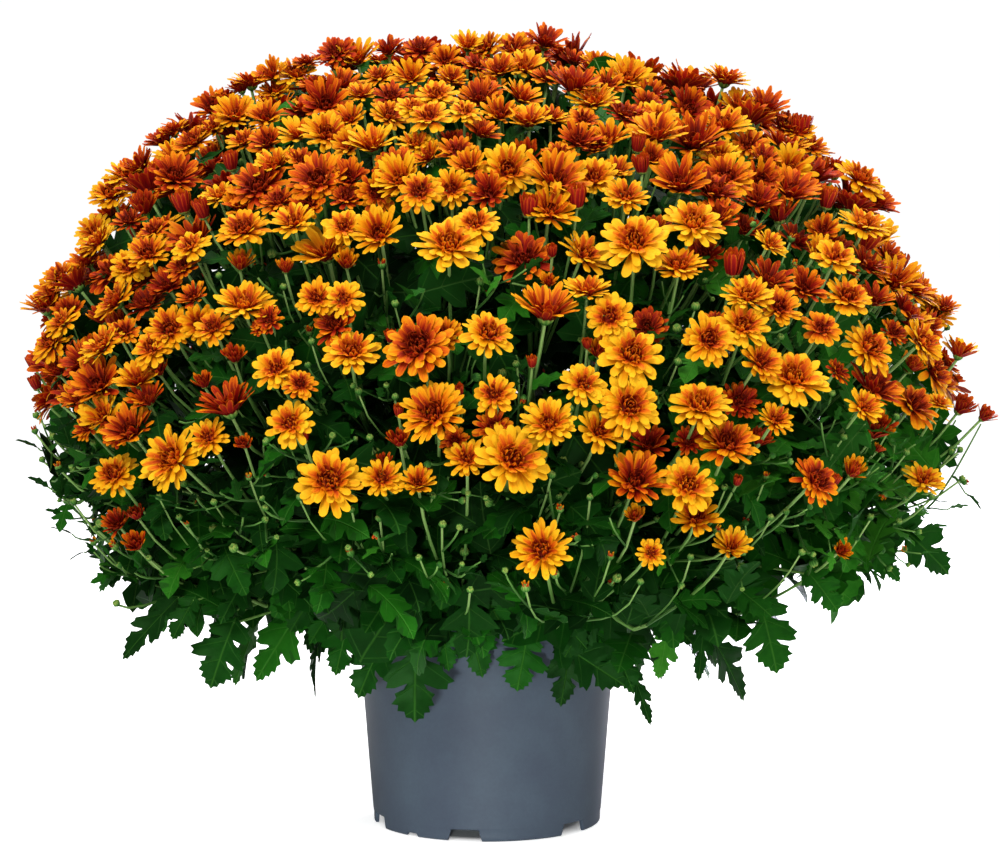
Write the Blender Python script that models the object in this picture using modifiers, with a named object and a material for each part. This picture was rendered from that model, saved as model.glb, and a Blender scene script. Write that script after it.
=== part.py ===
"""Pot chrysanthemum: a nursery pot, its root ball, a woody crown, the flowering
stems that radiate from it, the sprays of flower heads that the stems carry, and
the large leaves that hang over the pot's rim.

Metres, +Z up. The origin is the middle of the pot's base, on the surface that
the pot stands on. +X is the viewer's right, -Y is the front.
"""
import math
import random

import bmesh
import bpy
from mathutils import Matrix, Vector
from mathutils.bvhtree import BVHTree

# ---------------------------------------------------------------- dimensions
POT_BASE_R = 0.0840        # outside radius where the pot stands
POT_TAPER = 0.0800         # growth of that radius per metre of height
POT_H = 0.1570             # height of the rim
POT_WALL = 0.0016
RIM_H = 0.0120             # depth of the rolled rim band
RIM_OUT = 0.0026           # how far the band stands proud of the wall
FOOT_T = 0.0028            # thickness of the foot ring
FLOOR_Z = 0.0090           # underside of the raised floor
PAD_R = 0.0300             # central pad that also reaches the surface
DRAIN_HOLES = 6
DRAIN_R = 0.0045
DRAIN_RING_R = 0.0560
NOTCHES = 6                # drainage notches in the foot ring
NOTCH_FIRST = -11.0        # degrees from the front, towards +X
NOTCH_W = 0.0230
NOTCH_H = 0.0080
STEP_AT = -40.5            # shallow relief in the left front foot
STEP_W = 0.0100
STEP_H = 0.0022

GAP = 0.0003               # clearance between pieces that touch

SOIL_TOP = 0.1385
CROWN_R = 0.0260           # knuckle of wood that the stems grow from
CROWN_Z = 0.1500
ROOT_DEPTH = 0.0500        # how far the tap root reaches below the knuckle
ROOT_R = 0.0110
SOCKET_R = 0.0266

HEAD_PITCH = 0.0460        # spacing of the flower heads
HEAD_RISE = 0.0125         # height of a head over the valley between heads
SPRAY_DEPTH = 0.0170       # thickness of a spray under its heads
SPRAY_GAP = 0.0013         # half the gap between neighbouring sprays
SPRAY_LIMIT = math.radians(84.0)
# rings of sprays: number in the ring, angle from the vertical, first azimuth
SPRAY_RINGS = ((1, 0.0, 0.0), (5, 27.0, 54.0), (8, 50.5, 22.5), (9, 73.0, 10.0))
# canopy's outline in a vertical section, radius and height
CANOPY_PROFILE = ((0.000, 0.572), (0.100, 0.562), (0.190, 0.530), (0.250, 0.487),
                  (0.295, 0.430), (0.325, 0.370), (0.340, 0.310), (0.335, 0.250),
                  (0.312, 0.205), (0.284, 0.180))
CANOPY_LEAN = 0.018        # the canopy is this much fuller towards +X

STEM_R = 0.0036            # radius of a flowering stem at the crown
STEM_TIP_R = 0.0022
BRANCH_R = 0.0015
BRANCHES = 4
BRANCH_SPREAD = 0.0340
STEM_LEAF_L = 0.0440
STEM_LEAF_W = 0.0260

LEAF_COUNT = 9
LEAF_BLADE = 0.0780        # skirt leaf, without its stalk
LEAF_STALK = 0.0240
LEAF_WIDTH = 0.0480
LEAF_T = 0.0014
# half width of the blade at equal steps from stalk to tip: three pairs of lobes
LEAF_LOBES = (0.10, 0.62, 0.44, 0.92, 0.58, 1.00, 0.60, 0.74, 0.46, 0.10)

CROWN = Vector((0.0, 0.0, CROWN_Z))
RNG = random.Random(11)

# ---------------------------------------------------------------- helpers
for old in list(bpy.data.objects):
    bpy.data.objects.remove(old, do_unlink=True)

PART = bpy.data.collections.new("pot_chrysanthemum")
CUTTERS = bpy.data.collections.new("cutters")
bpy.context.scene.collection.children.link(PART)
bpy.context.scene.collection.children.link(CUTTERS)


def material(name, colour, rough, metal=0.0):
    mat = bpy.data.materials.new(name)
    mat.use_nodes = True
    shader = mat.node_tree.nodes["Principled BSDF"]
    shader.inputs["Base Color"].default_value = (*colour, 1.0)
    shader.inputs["Roughness"].default_value = rough
    shader.inputs["Metallic"].default_value = metal
    mat.diffuse_color = (*colour, 1.0)
    return mat


def add_object(name, mesh, mat, collection=PART):
    obj = bpy.data.objects.new(name, mesh)
    collection.objects.link(obj)
    if mat is not None:
        obj.data.materials.clear()
        obj.data.materials.append(mat)
    return obj


def mesh_from(name, bm):
    mesh = bpy.data.meshes.new(name)
    bm.to_mesh(mesh)
    bm.free()
    return mesh


def baked(obj):
    """The object's mesh with its modifiers applied, as a new mesh."""
    bpy.context.view_layer.update()
    graph = bpy.context.evaluated_depsgraph_get()
    return bpy.data.meshes.new_from_object(obj.evaluated_get(graph), depsgraph=graph)


def turned(name, profile, steps, mat, collection=PART):
    """A profile of (radius, height), run down its outer side, turned about Z."""
    bm = bmesh.new()
    verts = [bm.verts.new((r, 0.0, z)) for r, z in profile]
    for a, b in zip(verts, verts[1:]):
        bm.edges.new((a, b))
    obj = add_object(name, mesh_from(name, bm), mat, collection)
    screw = obj.modifiers.new("turn", "SCREW")
    screw.axis = "Z"
    screw.angle = math.tau
    screw.steps = steps
    screw.render_steps = steps
    screw.use_merge_vertices = True
    screw.merge_threshold = 0.00005
    return obj


def make_cutter(obj):
    obj.hide_render = True
    obj.display_type = "WIRE"
    return obj


def boolean(obj, cutter, operation):
    mod = obj.modifiers.new(operation.lower(), "BOOLEAN")
    mod.operation = operation
    mod.object = cutter
    return mod


def tube(name, points, radii, sides, mat, collection=PART):
    """A tapered tube through the points, as a closed mesh."""
    curve = bpy.data.curves.new(name, "CURVE")
    curve.dimensions = "3D"
    curve.bevel_depth = 1.0
    curve.bevel_resolution = (sides - 4) // 2
    curve.use_fill_caps = True
    spline = curve.splines.new("POLY")
    spline.points.add(len(points) - 1)
    for point, place, radius in zip(spline.points, points, radii):
        point.co = (*place, 1.0)
        point.radius = radius
    wire = bpy.data.objects.new(name + "_curve", curve)
    CUTTERS.objects.link(wire)
    mesh = baked(wire)
    bm = bmesh.new()
    bm.from_mesh(mesh)
    bmesh.ops.remove_doubles(bm, verts=bm.verts, dist=0.00005)
    bmesh.ops.recalc_face_normals(bm, faces=bm.faces)
    bm.to_mesh(mesh)
    bm.free()
    obj = add_object(name, mesh, mat, collection)
    obj.matrix_world = wire.matrix_world
    bpy.data.objects.remove(wire, do_unlink=True)
    return obj


def smooth(mesh, angle=math.radians(35)):
    mesh.shade_smooth()
    mesh.set_sharp_from_angle(angle=angle)


MAT_POT = material("slate_pot", (0.085, 0.102, 0.125), 0.42)
MAT_SOIL = material("damp_peat", (0.030, 0.019, 0.012), 0.95)
MAT_WOOD = material("crown_wood", (0.180, 0.140, 0.070), 0.80)
MAT_STEM = material("green_stem", (0.160, 0.290, 0.070), 0.60)
MAT_LEAF = material("leaf_green", (0.020, 0.085, 0.012), 0.55)
MAT_FLOWER = material("orange_heads", (0.930, 0.330, 0.020), 0.65)


# ---------------------------------------------------------------- pot and soil
def wall_r(z):
    return POT_BASE_R + POT_TAPER * z


def build_pot():
    top = POT_H
    band = top - RIM_H
    profile = [
        (0.0, FLOOR_Z * 0.25),
        (PAD_R - 0.0030, FLOOR_Z * 0.25),
        (PAD_R + 0.0012, FLOOR_Z + POT_WALL),
        (wall_r(FLOOR_Z) - POT_WALL - 0.0030, FLOOR_Z + POT_WALL),
        (wall_r(FLOOR_Z + POT_WALL + 0.0030) - POT_WALL, FLOOR_Z + POT_WALL + 0.0030),
        (wall_r(band) - POT_WALL, band),
        (wall_r(top) - POT_WALL, top - 0.0006),
        (wall_r(top) - POT_WALL + 0.0006, top),
        (wall_r(top) + RIM_OUT - 0.0008, top),
        (wall_r(top) + RIM_OUT, top - 0.0010),
        (wall_r(band) + RIM_OUT, band + 0.0010),
        (wall_r(band), band - 0.0016),
        (wall_r(FLOOR_Z), FLOOR_Z),
        (POT_BASE_R, 0.0010),
        (POT_BASE_R - 0.0010, 0.0),
        (POT_BASE_R - FOOT_T, 0.0),
        (POT_BASE_R - FOOT_T, FLOOR_Z),
        (PAD_R, FLOOR_Z),
        (PAD_R - 0.0020, 0.0),
        (0.0, 0.0),
    ]
    pot = turned("pot", profile, 48, MAT_POT)

    def box(name, azimuth, radius, width, depth, height):
        bm = bmesh.new()
        bmesh.ops.create_cube(bm, size=1.0)
        bmesh.ops.scale(bm, vec=(width, depth, height * 2.0), verts=bm.verts)
        a = math.radians(azimuth)
        cutter = add_object(name, mesh_from(name, bm), None, CUTTERS)
        cutter.matrix_world = (Matrix.Rotation(a, 4, "Z")
                               @ Matrix.Translation((0.0, -radius, 0.0)))
        return make_cutter(cutter)

    for k in range(NOTCHES):
        azimuth = NOTCH_FIRST + k * 360.0 / NOTCHES
        boolean(pot, box(f"notch_cutter_{k}", azimuth, POT_BASE_R - 0.001,
                         NOTCH_W, 0.012, NOTCH_H), "DIFFERENCE")
    boolean(pot, box("step_cutter", STEP_AT, POT_BASE_R - 0.001,
                     STEP_W, 0.012, STEP_H), "DIFFERENCE")
    for k in range(DRAIN_HOLES):
        a = math.radians(NOTCH_FIRST + 30.0 + k * 360.0 / DRAIN_HOLES)
        bm = bmesh.new()
        bmesh.ops.create_cone(bm, cap_ends=True, segments=10, radius1=DRAIN_R,
                              radius2=DRAIN_R, depth=0.012)
        hole = add_object(f"drain_cutter_{k}", mesh_from("drain", bm), None, CUTTERS)
        hole.location = (DRAIN_RING_R * math.sin(a), -DRAIN_RING_R * math.cos(a),
                         FLOOR_Z + 0.5 * POT_WALL)
        boolean(pot, make_cutter(hole), "DIFFERENCE")
    return pot


def build_soil():
    low = FLOOR_Z + POT_WALL + GAP
    inner = POT_WALL + GAP
    root_z = CROWN_Z - ROOT_DEPTH
    meet = math.sqrt(SOCKET_R ** 2 - (CROWN_Z - SOIL_TOP) ** 2)
    profile = [
        (0.0, root_z - GAP),
        (ROOT_R * 0.45 + GAP, root_z - GAP),
        (ROOT_R + GAP, CROWN_Z - CROWN_R + 0.0005),
        (SOCKET_R * 0.72, CROWN_Z - SOCKET_R * 0.72),
        (meet, SOIL_TOP),
        (0.060, SOIL_TOP - 0.0012),
        (wall_r(SOIL_TOP) - inner, SOIL_TOP + 0.0006),
        (wall_r(low + 0.004) - inner, low + 0.0040),
        (wall_r(low) - inner - 0.0036, low),
        (0.0, low),
    ]
    return turned("potting_soil", profile, 48, MAT_SOIL)


def build_crown():
    """A rounded knuckle of old wood with a tap root under it."""
    root_z = CROWN_Z - ROOT_DEPTH
    profile = [(0.0, CROWN_Z + CROWN_R)]
    for k in range(1, 9):
        a = math.radians(k * 18.0)
        if a > math.radians(140):
            break
        profile.append((CROWN_R * math.sin(a), CROWN_Z + CROWN_R * math.cos(a)))
    profile += [
        (ROOT_R, CROWN_Z - CROWN_R + 0.0005),
        (ROOT_R * 0.45, root_z),
        (0.0, root_z),
    ]
    return turned("crown", profile, 20, MAT_WOOD)


# ---------------------------------------------------------------- canopy
def canopy_table():
    table = []
    for r, z in CANOPY_PROFILE:
        table.append((math.atan2(r, z - CROWN_Z), math.hypot(r, z - CROWN_Z)))
    return table


TABLE = canopy_table()


def canopy_r(direction):
    """Distance from the crown to the canopy's surface in a direction."""
    theta = math.acos(max(-1.0, min(1.0, direction.z)))
    azimuth = math.atan2(direction.y, direction.x)
    value = TABLE[-1][1]
    for (t0, r0), (t1, r1) in zip(TABLE, TABLE[1:]):
        if theta <= t1:
            s = (theta - t0) / (t1 - t0)
            s = max(0.0, s)
            value = r0 + (r1 - r0) * s
            break
    return value * (1.0 + CANOPY_LEAN * math.cos(azimuth) * math.sin(theta))


def spray_directions():
    out = []
    for count, angle, first in SPRAY_RINGS:
        t = math.radians(angle)
        for k in range(count):
            a = math.radians(first + k * 360.0 / count)
            out.append(Vector((math.sin(t) * math.cos(a), math.sin(t) * math.sin(a),
                               math.cos(t))))
    return out


DIRECTIONS = spray_directions()


def side_planes(index):
    """Normals of the planes, through the crown, between a spray and the rest."""
    own = DIRECTIONS[index]
    return [(other - own).normalized() for k, other in enumerate(DIRECTIONS)
            if k != index]


def frame_of(direction):
    up = Vector((0.0, 0.0, 1.0)) if abs(direction.z) < 0.95 else Vector((0.0, 1.0, 0.0))
    side = up.cross(direction).normalized()
    return side, direction.cross(side).normalized()


def on_canopy(direction):
    d = direction.normalized()
    return CROWN + d * canopy_r(d)


def inside_limit(offset):
    """Turns a vector from the crown up to the canopy's lower limit."""
    d = offset.normalized()
    theta = math.acos(max(-1.0, min(1.0, d.z)))
    if theta <= SPRAY_LIMIT:
        return offset
    a = math.atan2(d.y, d.x)
    s = math.sin(SPRAY_LIMIT)
    return Vector((s * math.cos(a), s * math.sin(a), math.cos(SPRAY_LIMIT))) * offset.length


def build_spray(index):
    """Flower heads side by side on a curved cushion, one cell a head."""
    own = DIRECTIONS[index]
    side, up = frame_of(own)
    reach = canopy_r(own)
    planes = side_planes(index)
    turn = RNG.uniform(0.0, math.radians(60.0))
    bm = bmesh.new()
    for j in range(-4, 5):
        for i in range(-4, 5):
            x = HEAD_PITCH * (i + 0.5 * (j % 2))
            y = HEAD_PITCH * math.sqrt(0.75) * j
            xr = x * math.cos(turn) - y * math.sin(turn)
            yr = x * math.sin(turn) + y * math.cos(turn)
            d = (own + side * (xr / reach) + up * (yr / reach)).normalized()
            p = d * canopy_r(d)
            if math.acos(d.z) > SPRAY_LIMIT - 0.012:
                continue
            if any(p.dot(n) > -0.0030 for n in planes):
                continue
            bmesh.ops.create_circle(bm, cap_ends=True, segments=6,
                                    radius=HEAD_PITCH / math.sqrt(3.0),
                                    matrix=Matrix.Rotation(turn, 4, "Z")
                                    @ Matrix.Translation((x, y, 0.0)))
    bmesh.ops.remove_doubles(bm, verts=bm.verts, dist=0.0005)
    for v in bm.verts:
        d = (own + side * (v.co.x / reach) + up * (v.co.y / reach)).normalized()
        p = d * canopy_r(d)
        for _ in range(6):
            p = inside_limit(p)
            for n in planes:
                s = p.dot(n) + SPRAY_GAP
                if s > 0.0:
                    p = p - n * s
        v.co = on_canopy(p)
    bmesh.ops.remove_doubles(bm, verts=bm.verts, dist=0.0030)
    bmesh.ops.recalc_face_normals(bm, faces=bm.faces)
    outer = list(bm.faces)
    if sum(f.normal.dot(f.calc_center_median() - CROWN) for f in outer) < 0.0:
        bmesh.ops.reverse_faces(bm, faces=outer)
    grown = bmesh.ops.extrude_face_region(bm, geom=outer)
    for v in grown["geom"]:
        if isinstance(v, bmesh.types.BMVert):
            ray = v.co - CROWN
            v.co = CROWN + ray * (1.0 - SPRAY_DEPTH / ray.length)
    outer = [f for f in bm.faces if all(
        (v.co - CROWN).length > canopy_r((v.co - CROWN).normalized()) - 0.2 * SPRAY_DEPTH
        for v in f.verts)]
    heads = {v: v.normal.copy() for v in bmesh.ops.poke(bm, faces=outer)["verts"]}
    for v in heads:
        ring = [e.other_vert(v).co for e in v.link_edges]
        mid = sum(ring, Vector()) / len(ring)
        normal = Vector()
        for a, b in zip(ring, ring[1:] + ring[:1]):
            normal += (a - mid).cross(b - mid)
        out = (mid - CROWN).normalized()
        spread = min((p - mid).length for p in ring)
        v.co = mid + out * (HEAD_RISE * RNG.uniform(0.80, 1.10)
                            * min(1.0, spread / 0.020))
    bmesh.ops.recalc_face_normals(bm, faces=bm.faces)
    name = f"flower_spray_{index + 1:02d}"
    return add_object(name, mesh_from(name, bm), MAT_FLOWER)


def hit_distance(tree, direction):
    hit = tree.ray_cast(CROWN + direction * 0.05, direction)
    if hit[0] is None:
        return None
    return (hit[0] - CROWN).length


def stem_leaf(name, root, along, across, length, width):
    """A flat blade that starts in the stem's axis."""
    bm = bmesh.new()
    bmesh.ops.create_circle(bm, cap_ends=True, segments=6, radius=0.5)
    bmesh.ops.scale(bm, vec=(width, length, 1.0), verts=bm.verts)
    mesh = mesh_from(name, bm)
    obj = add_object(name, mesh, MAT_STEM, CUTTERS)
    thick = obj.modifiers.new("thickness", "SOLIDIFY")
    thick.thickness = LEAF_T
    thick.offset = 0.0
    normal = along.cross(across).normalized()
    side = across.cross(normal).normalized()
    basis = Matrix((side, across, normal)).transposed().to_4x4()
    obj.matrix_world = Matrix.Translation(root + across * (0.5 * length - 0.0012)) @ basis
    solid = baked(obj)
    solid.transform(obj.matrix_world)
    bpy.data.objects.remove(obj, do_unlink=True)
    return add_object(name, solid, None, CUTTERS)


def build_stem(index, spray):
    own = DIRECTIONS[index]
    side, up = frame_of(own)
    tree = BVHTree.FromObject(spray, bpy.context.evaluated_depsgraph_get())

    def end_at(direction, radius):
        """Farthest that a tip of this radius can reach under the spray."""
        best = None
        a, b = frame_of(direction)
        for k in range(9):
            turn = k * math.tau / 8.0
            edge = Vector() if k == 8 else (a * math.cos(turn) + b * math.sin(turn))
            probe = (direction * 0.36 + edge * radius * 1.15).normalized()
            distance = hit_distance(tree, probe)
            if distance is None:
                return None
            best = distance if best is None else min(best, distance)
        return best - 2.0 * GAP - 0.0004

    bend = up * RNG.uniform(0.004, 0.011) + side * RNG.uniform(-0.007, 0.007)
    start = CROWN_R + 0.0006
    finish = end_at(own, STEM_TIP_R)
    points, radii = [], []
    steps = 6
    for k in range(steps + 1):
        t = k / steps
        rho = start + (finish - start) * t
        sway = bend * math.sin(math.pi * t) * (0.4 + 0.6 * t)
        points.append(CROWN + own * rho + sway)
        radii.append(STEM_R + (STEM_TIP_R - STEM_R) * t)
    name = f"flowering_stem_{index + 1:02d}"
    stem = tube(name, points, radii, 6, MAT_STEM)
    extra = []
    fork = points[-2]
    for k in range(BRANCHES):
        a = (k + 0.5) * math.tau / BRANCHES + RNG.uniform(-0.25, 0.25)
        spread = BRANCH_SPREAD * RNG.uniform(0.85, 1.0)
        aim = (own + (side * math.cos(a) + up * math.sin(a)) * (spread / canopy_r(own)))
        aim.normalize()
        reach = end_at(aim, BRANCH_R)
        if reach is None:
            continue
        tip = CROWN + aim * reach
        middle = fork.lerp(tip, 0.55) + (tip - CROWN).normalized() * -0.004
        extra.append(tube(f"{name}_branch_{k}", [fork - own * 0.002, middle, tip],
                          [BRANCH_R * 1.25, BRANCH_R * 1.1, BRANCH_R], 4, None, CUTTERS))
    for k, t in enumerate((0.42, 0.62)):
        at = int(round(t * steps))
        a = RNG.uniform(0.0, math.tau) if k == 0 else a + math.radians(155)
        out = (side * math.cos(a) + up * math.sin(a)) * 0.86 + own * 0.50
        out.normalize()
        scale = (0.55, 0.85)[k]
        extra.append(stem_leaf(f"{name}_leaf_{k}", points[at], own, out,
                               STEM_LEAF_L * scale, STEM_LEAF_W * scale))
    for item in extra:
        boolean(stem, item, "UNION")
    joined = baked(stem)
    stem.modifiers.clear()
    stem.data = joined
    stem.data.materials.clear()
    stem.data.materials.append(MAT_STEM)
    for polygon in stem.data.polygons:
        polygon.material_index = 0
    for item in extra:
        bpy.data.objects.remove(item, do_unlink=True)
    return stem, points


# ---------------------------------------------------------------- skirt leaves
def build_skirt_leaf(number, anchor, azimuth, stem_radius):
    """A lobed leaf on a stalk, hanging from the underside of a low stem."""
    out = Vector((math.cos(azimuth), math.sin(azimuth), 0.0))
    across = Vector((-out.y, out.x, 0.0))
    rows, columns = 13, 4
    blade = LEAF_BLADE * RNG.uniform(0.88, 1.05)
    width = LEAF_WIDTH * blade / LEAF_BLADE
    total = LEAF_STALK + blade
    fall = RNG.uniform(0.90, 1.10)
    swing = RNG.uniform(-0.20, 0.20)
    start = anchor + Vector((0.0, 0.0, -(stem_radius + LEAF_T * 0.5 + 2.2 * GAP)))

    line = [start]
    for k in range(rows):
        t = (k + 0.5) / rows
        pitch = math.radians(-22.0 - 58.0 * min(1.0, t * 1.25) * fall)
        heading = out * math.cos(pitch) + Vector((0.0, 0.0, math.sin(pitch)))
        heading += across * swing * t
        line.append(line[-1] + heading.normalized() * total / rows)

    def half_width(t):
        run = t * total
        if run <= LEAF_STALK:
            return 0.0016
        s = (run - LEAF_STALK) / blade * (len(LEAF_LOBES) - 1)
        k = min(int(s), len(LEAF_LOBES) - 2)
        return max(0.0016, 0.5 * width * (LEAF_LOBES[k]
                                          + (LEAF_LOBES[k + 1] - LEAF_LOBES[k]) * (s - k)))

    bm = bmesh.new()
    bmesh.ops.create_grid(bm, x_segments=columns, y_segments=rows, size=1.0)
    for v in bm.verts:
        u = v.co.x
        t = 0.5 * (v.co.y + 1.0)
        place = t * rows
        k = min(int(place), rows - 1)
        point = line[k].lerp(line[k + 1], place - k)
        heading = (line[k + 1] - line[k]).normalized()
        normal = across.cross(heading).normalized()
        w = half_width(t)
        v.co = point + across * (u * w) - normal * (abs(u) * w * 0.28)
    name = f"skirt_leaf_{number:02d}"
    leaf = add_object(name, mesh_from(name, bm), MAT_LEAF)
    thick = leaf.modifiers.new("thickness", "SOLIDIFY")
    thick.thickness = LEAF_T
    thick.offset = 0.0
    return leaf


# ---------------------------------------------------------------- assembly
pot = build_pot()
soil = build_soil()
crown = build_crown()
lowest = []
for number in range(len(DIRECTIONS)):
    spray = build_spray(number)
    stem, route = build_stem(number, spray)
    if number >= len(DIRECTIONS) - SPRAY_RINGS[-1][0]:
        lowest.append(route)

for number, route in enumerate(lowest):
    low, high = route[1], route[2]
    anchor = low.lerp(high, 0.80)
    heading = math.atan2(anchor.y, anchor.x)
    radius = STEM_R + (STEM_TIP_R - STEM_R) * 1.8 / 6.0
    build_skirt_leaf(number + 1, anchor, heading, radius)

for obj in PART.objects:
    if obj.name.startswith(("pot", "crown", "flowering_stem", "skirt")):
        smooth(obj.data)
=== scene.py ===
import math

import bmesh
import bpy
import numpy as np
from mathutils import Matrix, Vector
from mathutils.bvhtree import BVHTree
from mathutils.kdtree import KDTree


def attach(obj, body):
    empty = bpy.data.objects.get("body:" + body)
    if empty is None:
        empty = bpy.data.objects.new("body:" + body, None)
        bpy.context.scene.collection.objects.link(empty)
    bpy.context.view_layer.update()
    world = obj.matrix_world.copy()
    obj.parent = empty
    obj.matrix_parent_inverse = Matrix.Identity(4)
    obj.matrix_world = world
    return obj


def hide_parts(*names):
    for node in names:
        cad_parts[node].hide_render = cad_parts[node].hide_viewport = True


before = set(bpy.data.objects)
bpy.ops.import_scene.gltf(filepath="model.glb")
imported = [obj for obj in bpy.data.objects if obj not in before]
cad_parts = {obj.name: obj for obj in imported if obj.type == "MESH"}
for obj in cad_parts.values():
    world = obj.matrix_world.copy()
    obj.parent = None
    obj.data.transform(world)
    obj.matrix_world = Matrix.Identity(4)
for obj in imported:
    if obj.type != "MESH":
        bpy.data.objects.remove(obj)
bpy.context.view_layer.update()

RNG = np.random.default_rng(20417)

# ------------------------------------------------------------------ camera
CAM_X, CAM_DIST, CAM_Z = 0.0096, 2.40, 0.50
CAM_PITCH = math.radians(4.97)
FOCAL_PX = 3263.0
IMG_W, IMG_H = 1000, 858

cam_data = bpy.data.cameras.new("camera")
cam_data.sensor_width = 36.0
cam_data.lens = FOCAL_PX / IMG_W * 36.0
cam_data.clip_start = 0.05
cam = bpy.data.objects.new("camera", cam_data)
bpy.context.scene.collection.objects.link(cam)
cam.location = (CAM_X, -CAM_DIST, CAM_Z)
cam.rotation_euler = (math.radians(90.0) - CAM_PITCH, 0.0, 0.0)
bpy.context.scene.camera = cam
EYE = np.array([CAM_X, -CAM_DIST, CAM_Z])


def ray_of(px, py):
    right = np.array([1.0, 0.0, 0.0])
    ahead = np.array([0.0, math.cos(CAM_PITCH), -math.sin(CAM_PITCH)])
    up = np.array([0.0, math.sin(CAM_PITCH), math.cos(CAM_PITCH)])
    d = (ahead + right * (px - IMG_W / 2) / FOCAL_PX
         - up * (py - IMG_H / 2) / FOCAL_PX)
    return d / np.linalg.norm(d)


def pixel_of(p):
    rel = np.asarray(p) - EYE
    c, s = math.cos(CAM_PITCH), math.sin(CAM_PITCH)
    depth = rel[1] * c - rel[2] * s
    up = rel[1] * s + rel[2] * c
    return (IMG_W / 2 + FOCAL_PX * rel[0] / depth,
            IMG_H / 2 - FOCAL_PX * up / depth, depth)


# ------------------------------------------------------------------ canopy form
CROWN = np.array([0.0, 0.0, 0.150])
# outline of the flower layer in a vertical section, radius and height
PROFILE = ((0.000, 0.573), (0.100, 0.563), (0.190, 0.531), (0.250, 0.488),
           (0.295, 0.432), (0.325, 0.372), (0.341, 0.312), (0.337, 0.255),
           (0.316, 0.208), (0.284, 0.180))
_T = np.array([math.atan2(r, z - CROWN[2]) for r, z in PROFILE])
_R = np.array([math.hypot(r, z - CROWN[2]) for r, z in PROFILE])
LEAN = 0.018


def unit(v):
    v = np.asarray(v, float)
    return v / max(1e-12, np.linalg.norm(v))


def reach(d):
    """Distance from the crown to the flower layer along a unit vector."""
    theta = math.acos(max(-1.0, min(1.0, d[2])))
    az = math.atan2(d[1], d[0])
    return float(np.interp(theta, _T, _R)) * (1.0 + LEAN * math.cos(az) * math.sin(theta))


def surface(d):
    return CROWN + d * reach(d)


def normal_at(d):
    a = unit(np.cross(d, [0.0, 0.0, 1.0] if abs(d[2]) < 0.97 else [1.0, 0.0, 0.0]))
    b = np.cross(d, a)
    e = 0.03
    da = surface(unit(d + a * e)) - surface(unit(d - a * e))
    db = surface(unit(d + b * e)) - surface(unit(d - b * e))
    n = unit(np.cross(da, db))
    return n if n @ d > 0 else -n


def hit_canopy(px, py, factor=1.0):
    """Where the view through a pixel meets the flower layer, or passes nearest."""
    r = ray_of(px, py)
    ts = np.linspace(1.95, 2.9, 400)
    best, where = 1e9, None
    last = None
    for t in ts:
        p = EYE + r * t - CROWN
        rho = np.linalg.norm(p)
        gap = rho - reach(p / rho) * factor
        if last is not None and gap <= 0.0 < last[1]:
            f = last[1] / (last[1] - gap)
            t = last[0] + (t - last[0]) * f
            return EYE + r * t
        if abs(gap) < best:
            best, where = abs(gap), t
        last = (t, gap)
    return EYE + r * where


SPRAY_RINGS = ((1, 0.0, 0.0), (5, 27.0, 54.0), (8, 50.5, 22.5), (9, 73.0, 10.0))


def spray_directions():
    out = []
    for count, angle, first in SPRAY_RINGS:
        t = math.radians(angle)
        for k in range(count):
            a = math.radians(first + k * 360.0 / count)
            out.append((math.sin(t) * math.cos(a), math.sin(t) * math.sin(a), math.cos(t)))
    return np.array(out)


SPRAYS = spray_directions()


# ------------------------------------------------------------------ mesh store
class Store:
    """Collects closed shapes made of quads and triangles, each face with UVs."""

    def __init__(self):
        self.v, self.q, self.qu, self.t, self.tu, self.n = [], [], [], [], [], 0

    def add(self, v, q=None, qu=None, t=None, tu=None):
        if q is not None and len(q):
            self.q.append(np.asarray(q) + self.n)
            self.qu.append(np.asarray(qu, float))
        if t is not None and len(t):
            self.t.append(np.asarray(t) + self.n)
            self.tu.append(np.asarray(tu, float))
        self.v.append(np.asarray(v, float))
        self.n += len(v)

    def triangles(self):
        return 2 * sum(len(x) for x in self.q) + sum(len(x) for x in self.t)

    def build(self, name, mat, sharp=70.0):
        v = np.concatenate(self.v)
        q = np.concatenate(self.q) if self.q else np.zeros((0, 4), int)
        t = np.concatenate(self.t) if self.t else np.zeros((0, 3), int)
        loops = np.concatenate([q.ravel(), t.ravel()]).astype(np.int32)
        starts = np.concatenate([np.arange(len(q)) * 4,
                                 len(q) * 4 + np.arange(len(t)) * 3]).astype(np.int32)
        me = bpy.data.meshes.new(name)
        me.vertices.add(len(v))
        me.vertices.foreach_set("co", v.astype(np.float32).ravel())
        me.loops.add(len(loops))
        me.loops.foreach_set("vertex_index", loops)
        me.polygons.add(len(q) + len(t))
        me.polygons.foreach_set("loop_start", starts)
        me.update(calc_edges=True)
        me.validate()
        uv = me.uv_layers.new(name="OFBake")
        parts = []
        if self.qu:
            parts.append(np.concatenate(self.qu).reshape(-1, 2))
        if self.tu:
            parts.append(np.concatenate(self.tu).reshape(-1, 2))
        uv.data.foreach_set("uv", np.concatenate(parts).astype(np.float32).ravel())
        me.materials.append(mat)
        me.shade_smooth()
        me.set_sharp_from_angle(angle=math.radians(sharp))
        ob = bpy.data.objects.new(name, me)
        bpy.context.scene.collection.objects.link(ob)
        return ob


COLS, ROWS = 4.0, 8.0


def cell(kind, var, a, t):
    """UV of a point across (a) and along (t) inside a cell of the colour chart."""
    u = (kind + 0.5 + (np.asarray(a, float) - 0.5) * 0.90) / COLS
    v = (var + 0.5 + (np.asarray(t, float) - 0.5) * 0.90) / ROWS
    return np.stack(np.broadcast_arrays(u, v), axis=-1)


def basis(axis, turn):
    z = unit(axis)
    h = np.array([0.0, 0.0, 1.0]) if abs(z[2]) < 0.95 else np.array([0.0, 1.0, 0.0])
    x = unit(np.cross(h, z))
    y = np.cross(z, x)
    c, s = math.cos(turn), math.sin(turn)
    return np.stack([x * c + y * s, -x * s + y * c, z])


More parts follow.
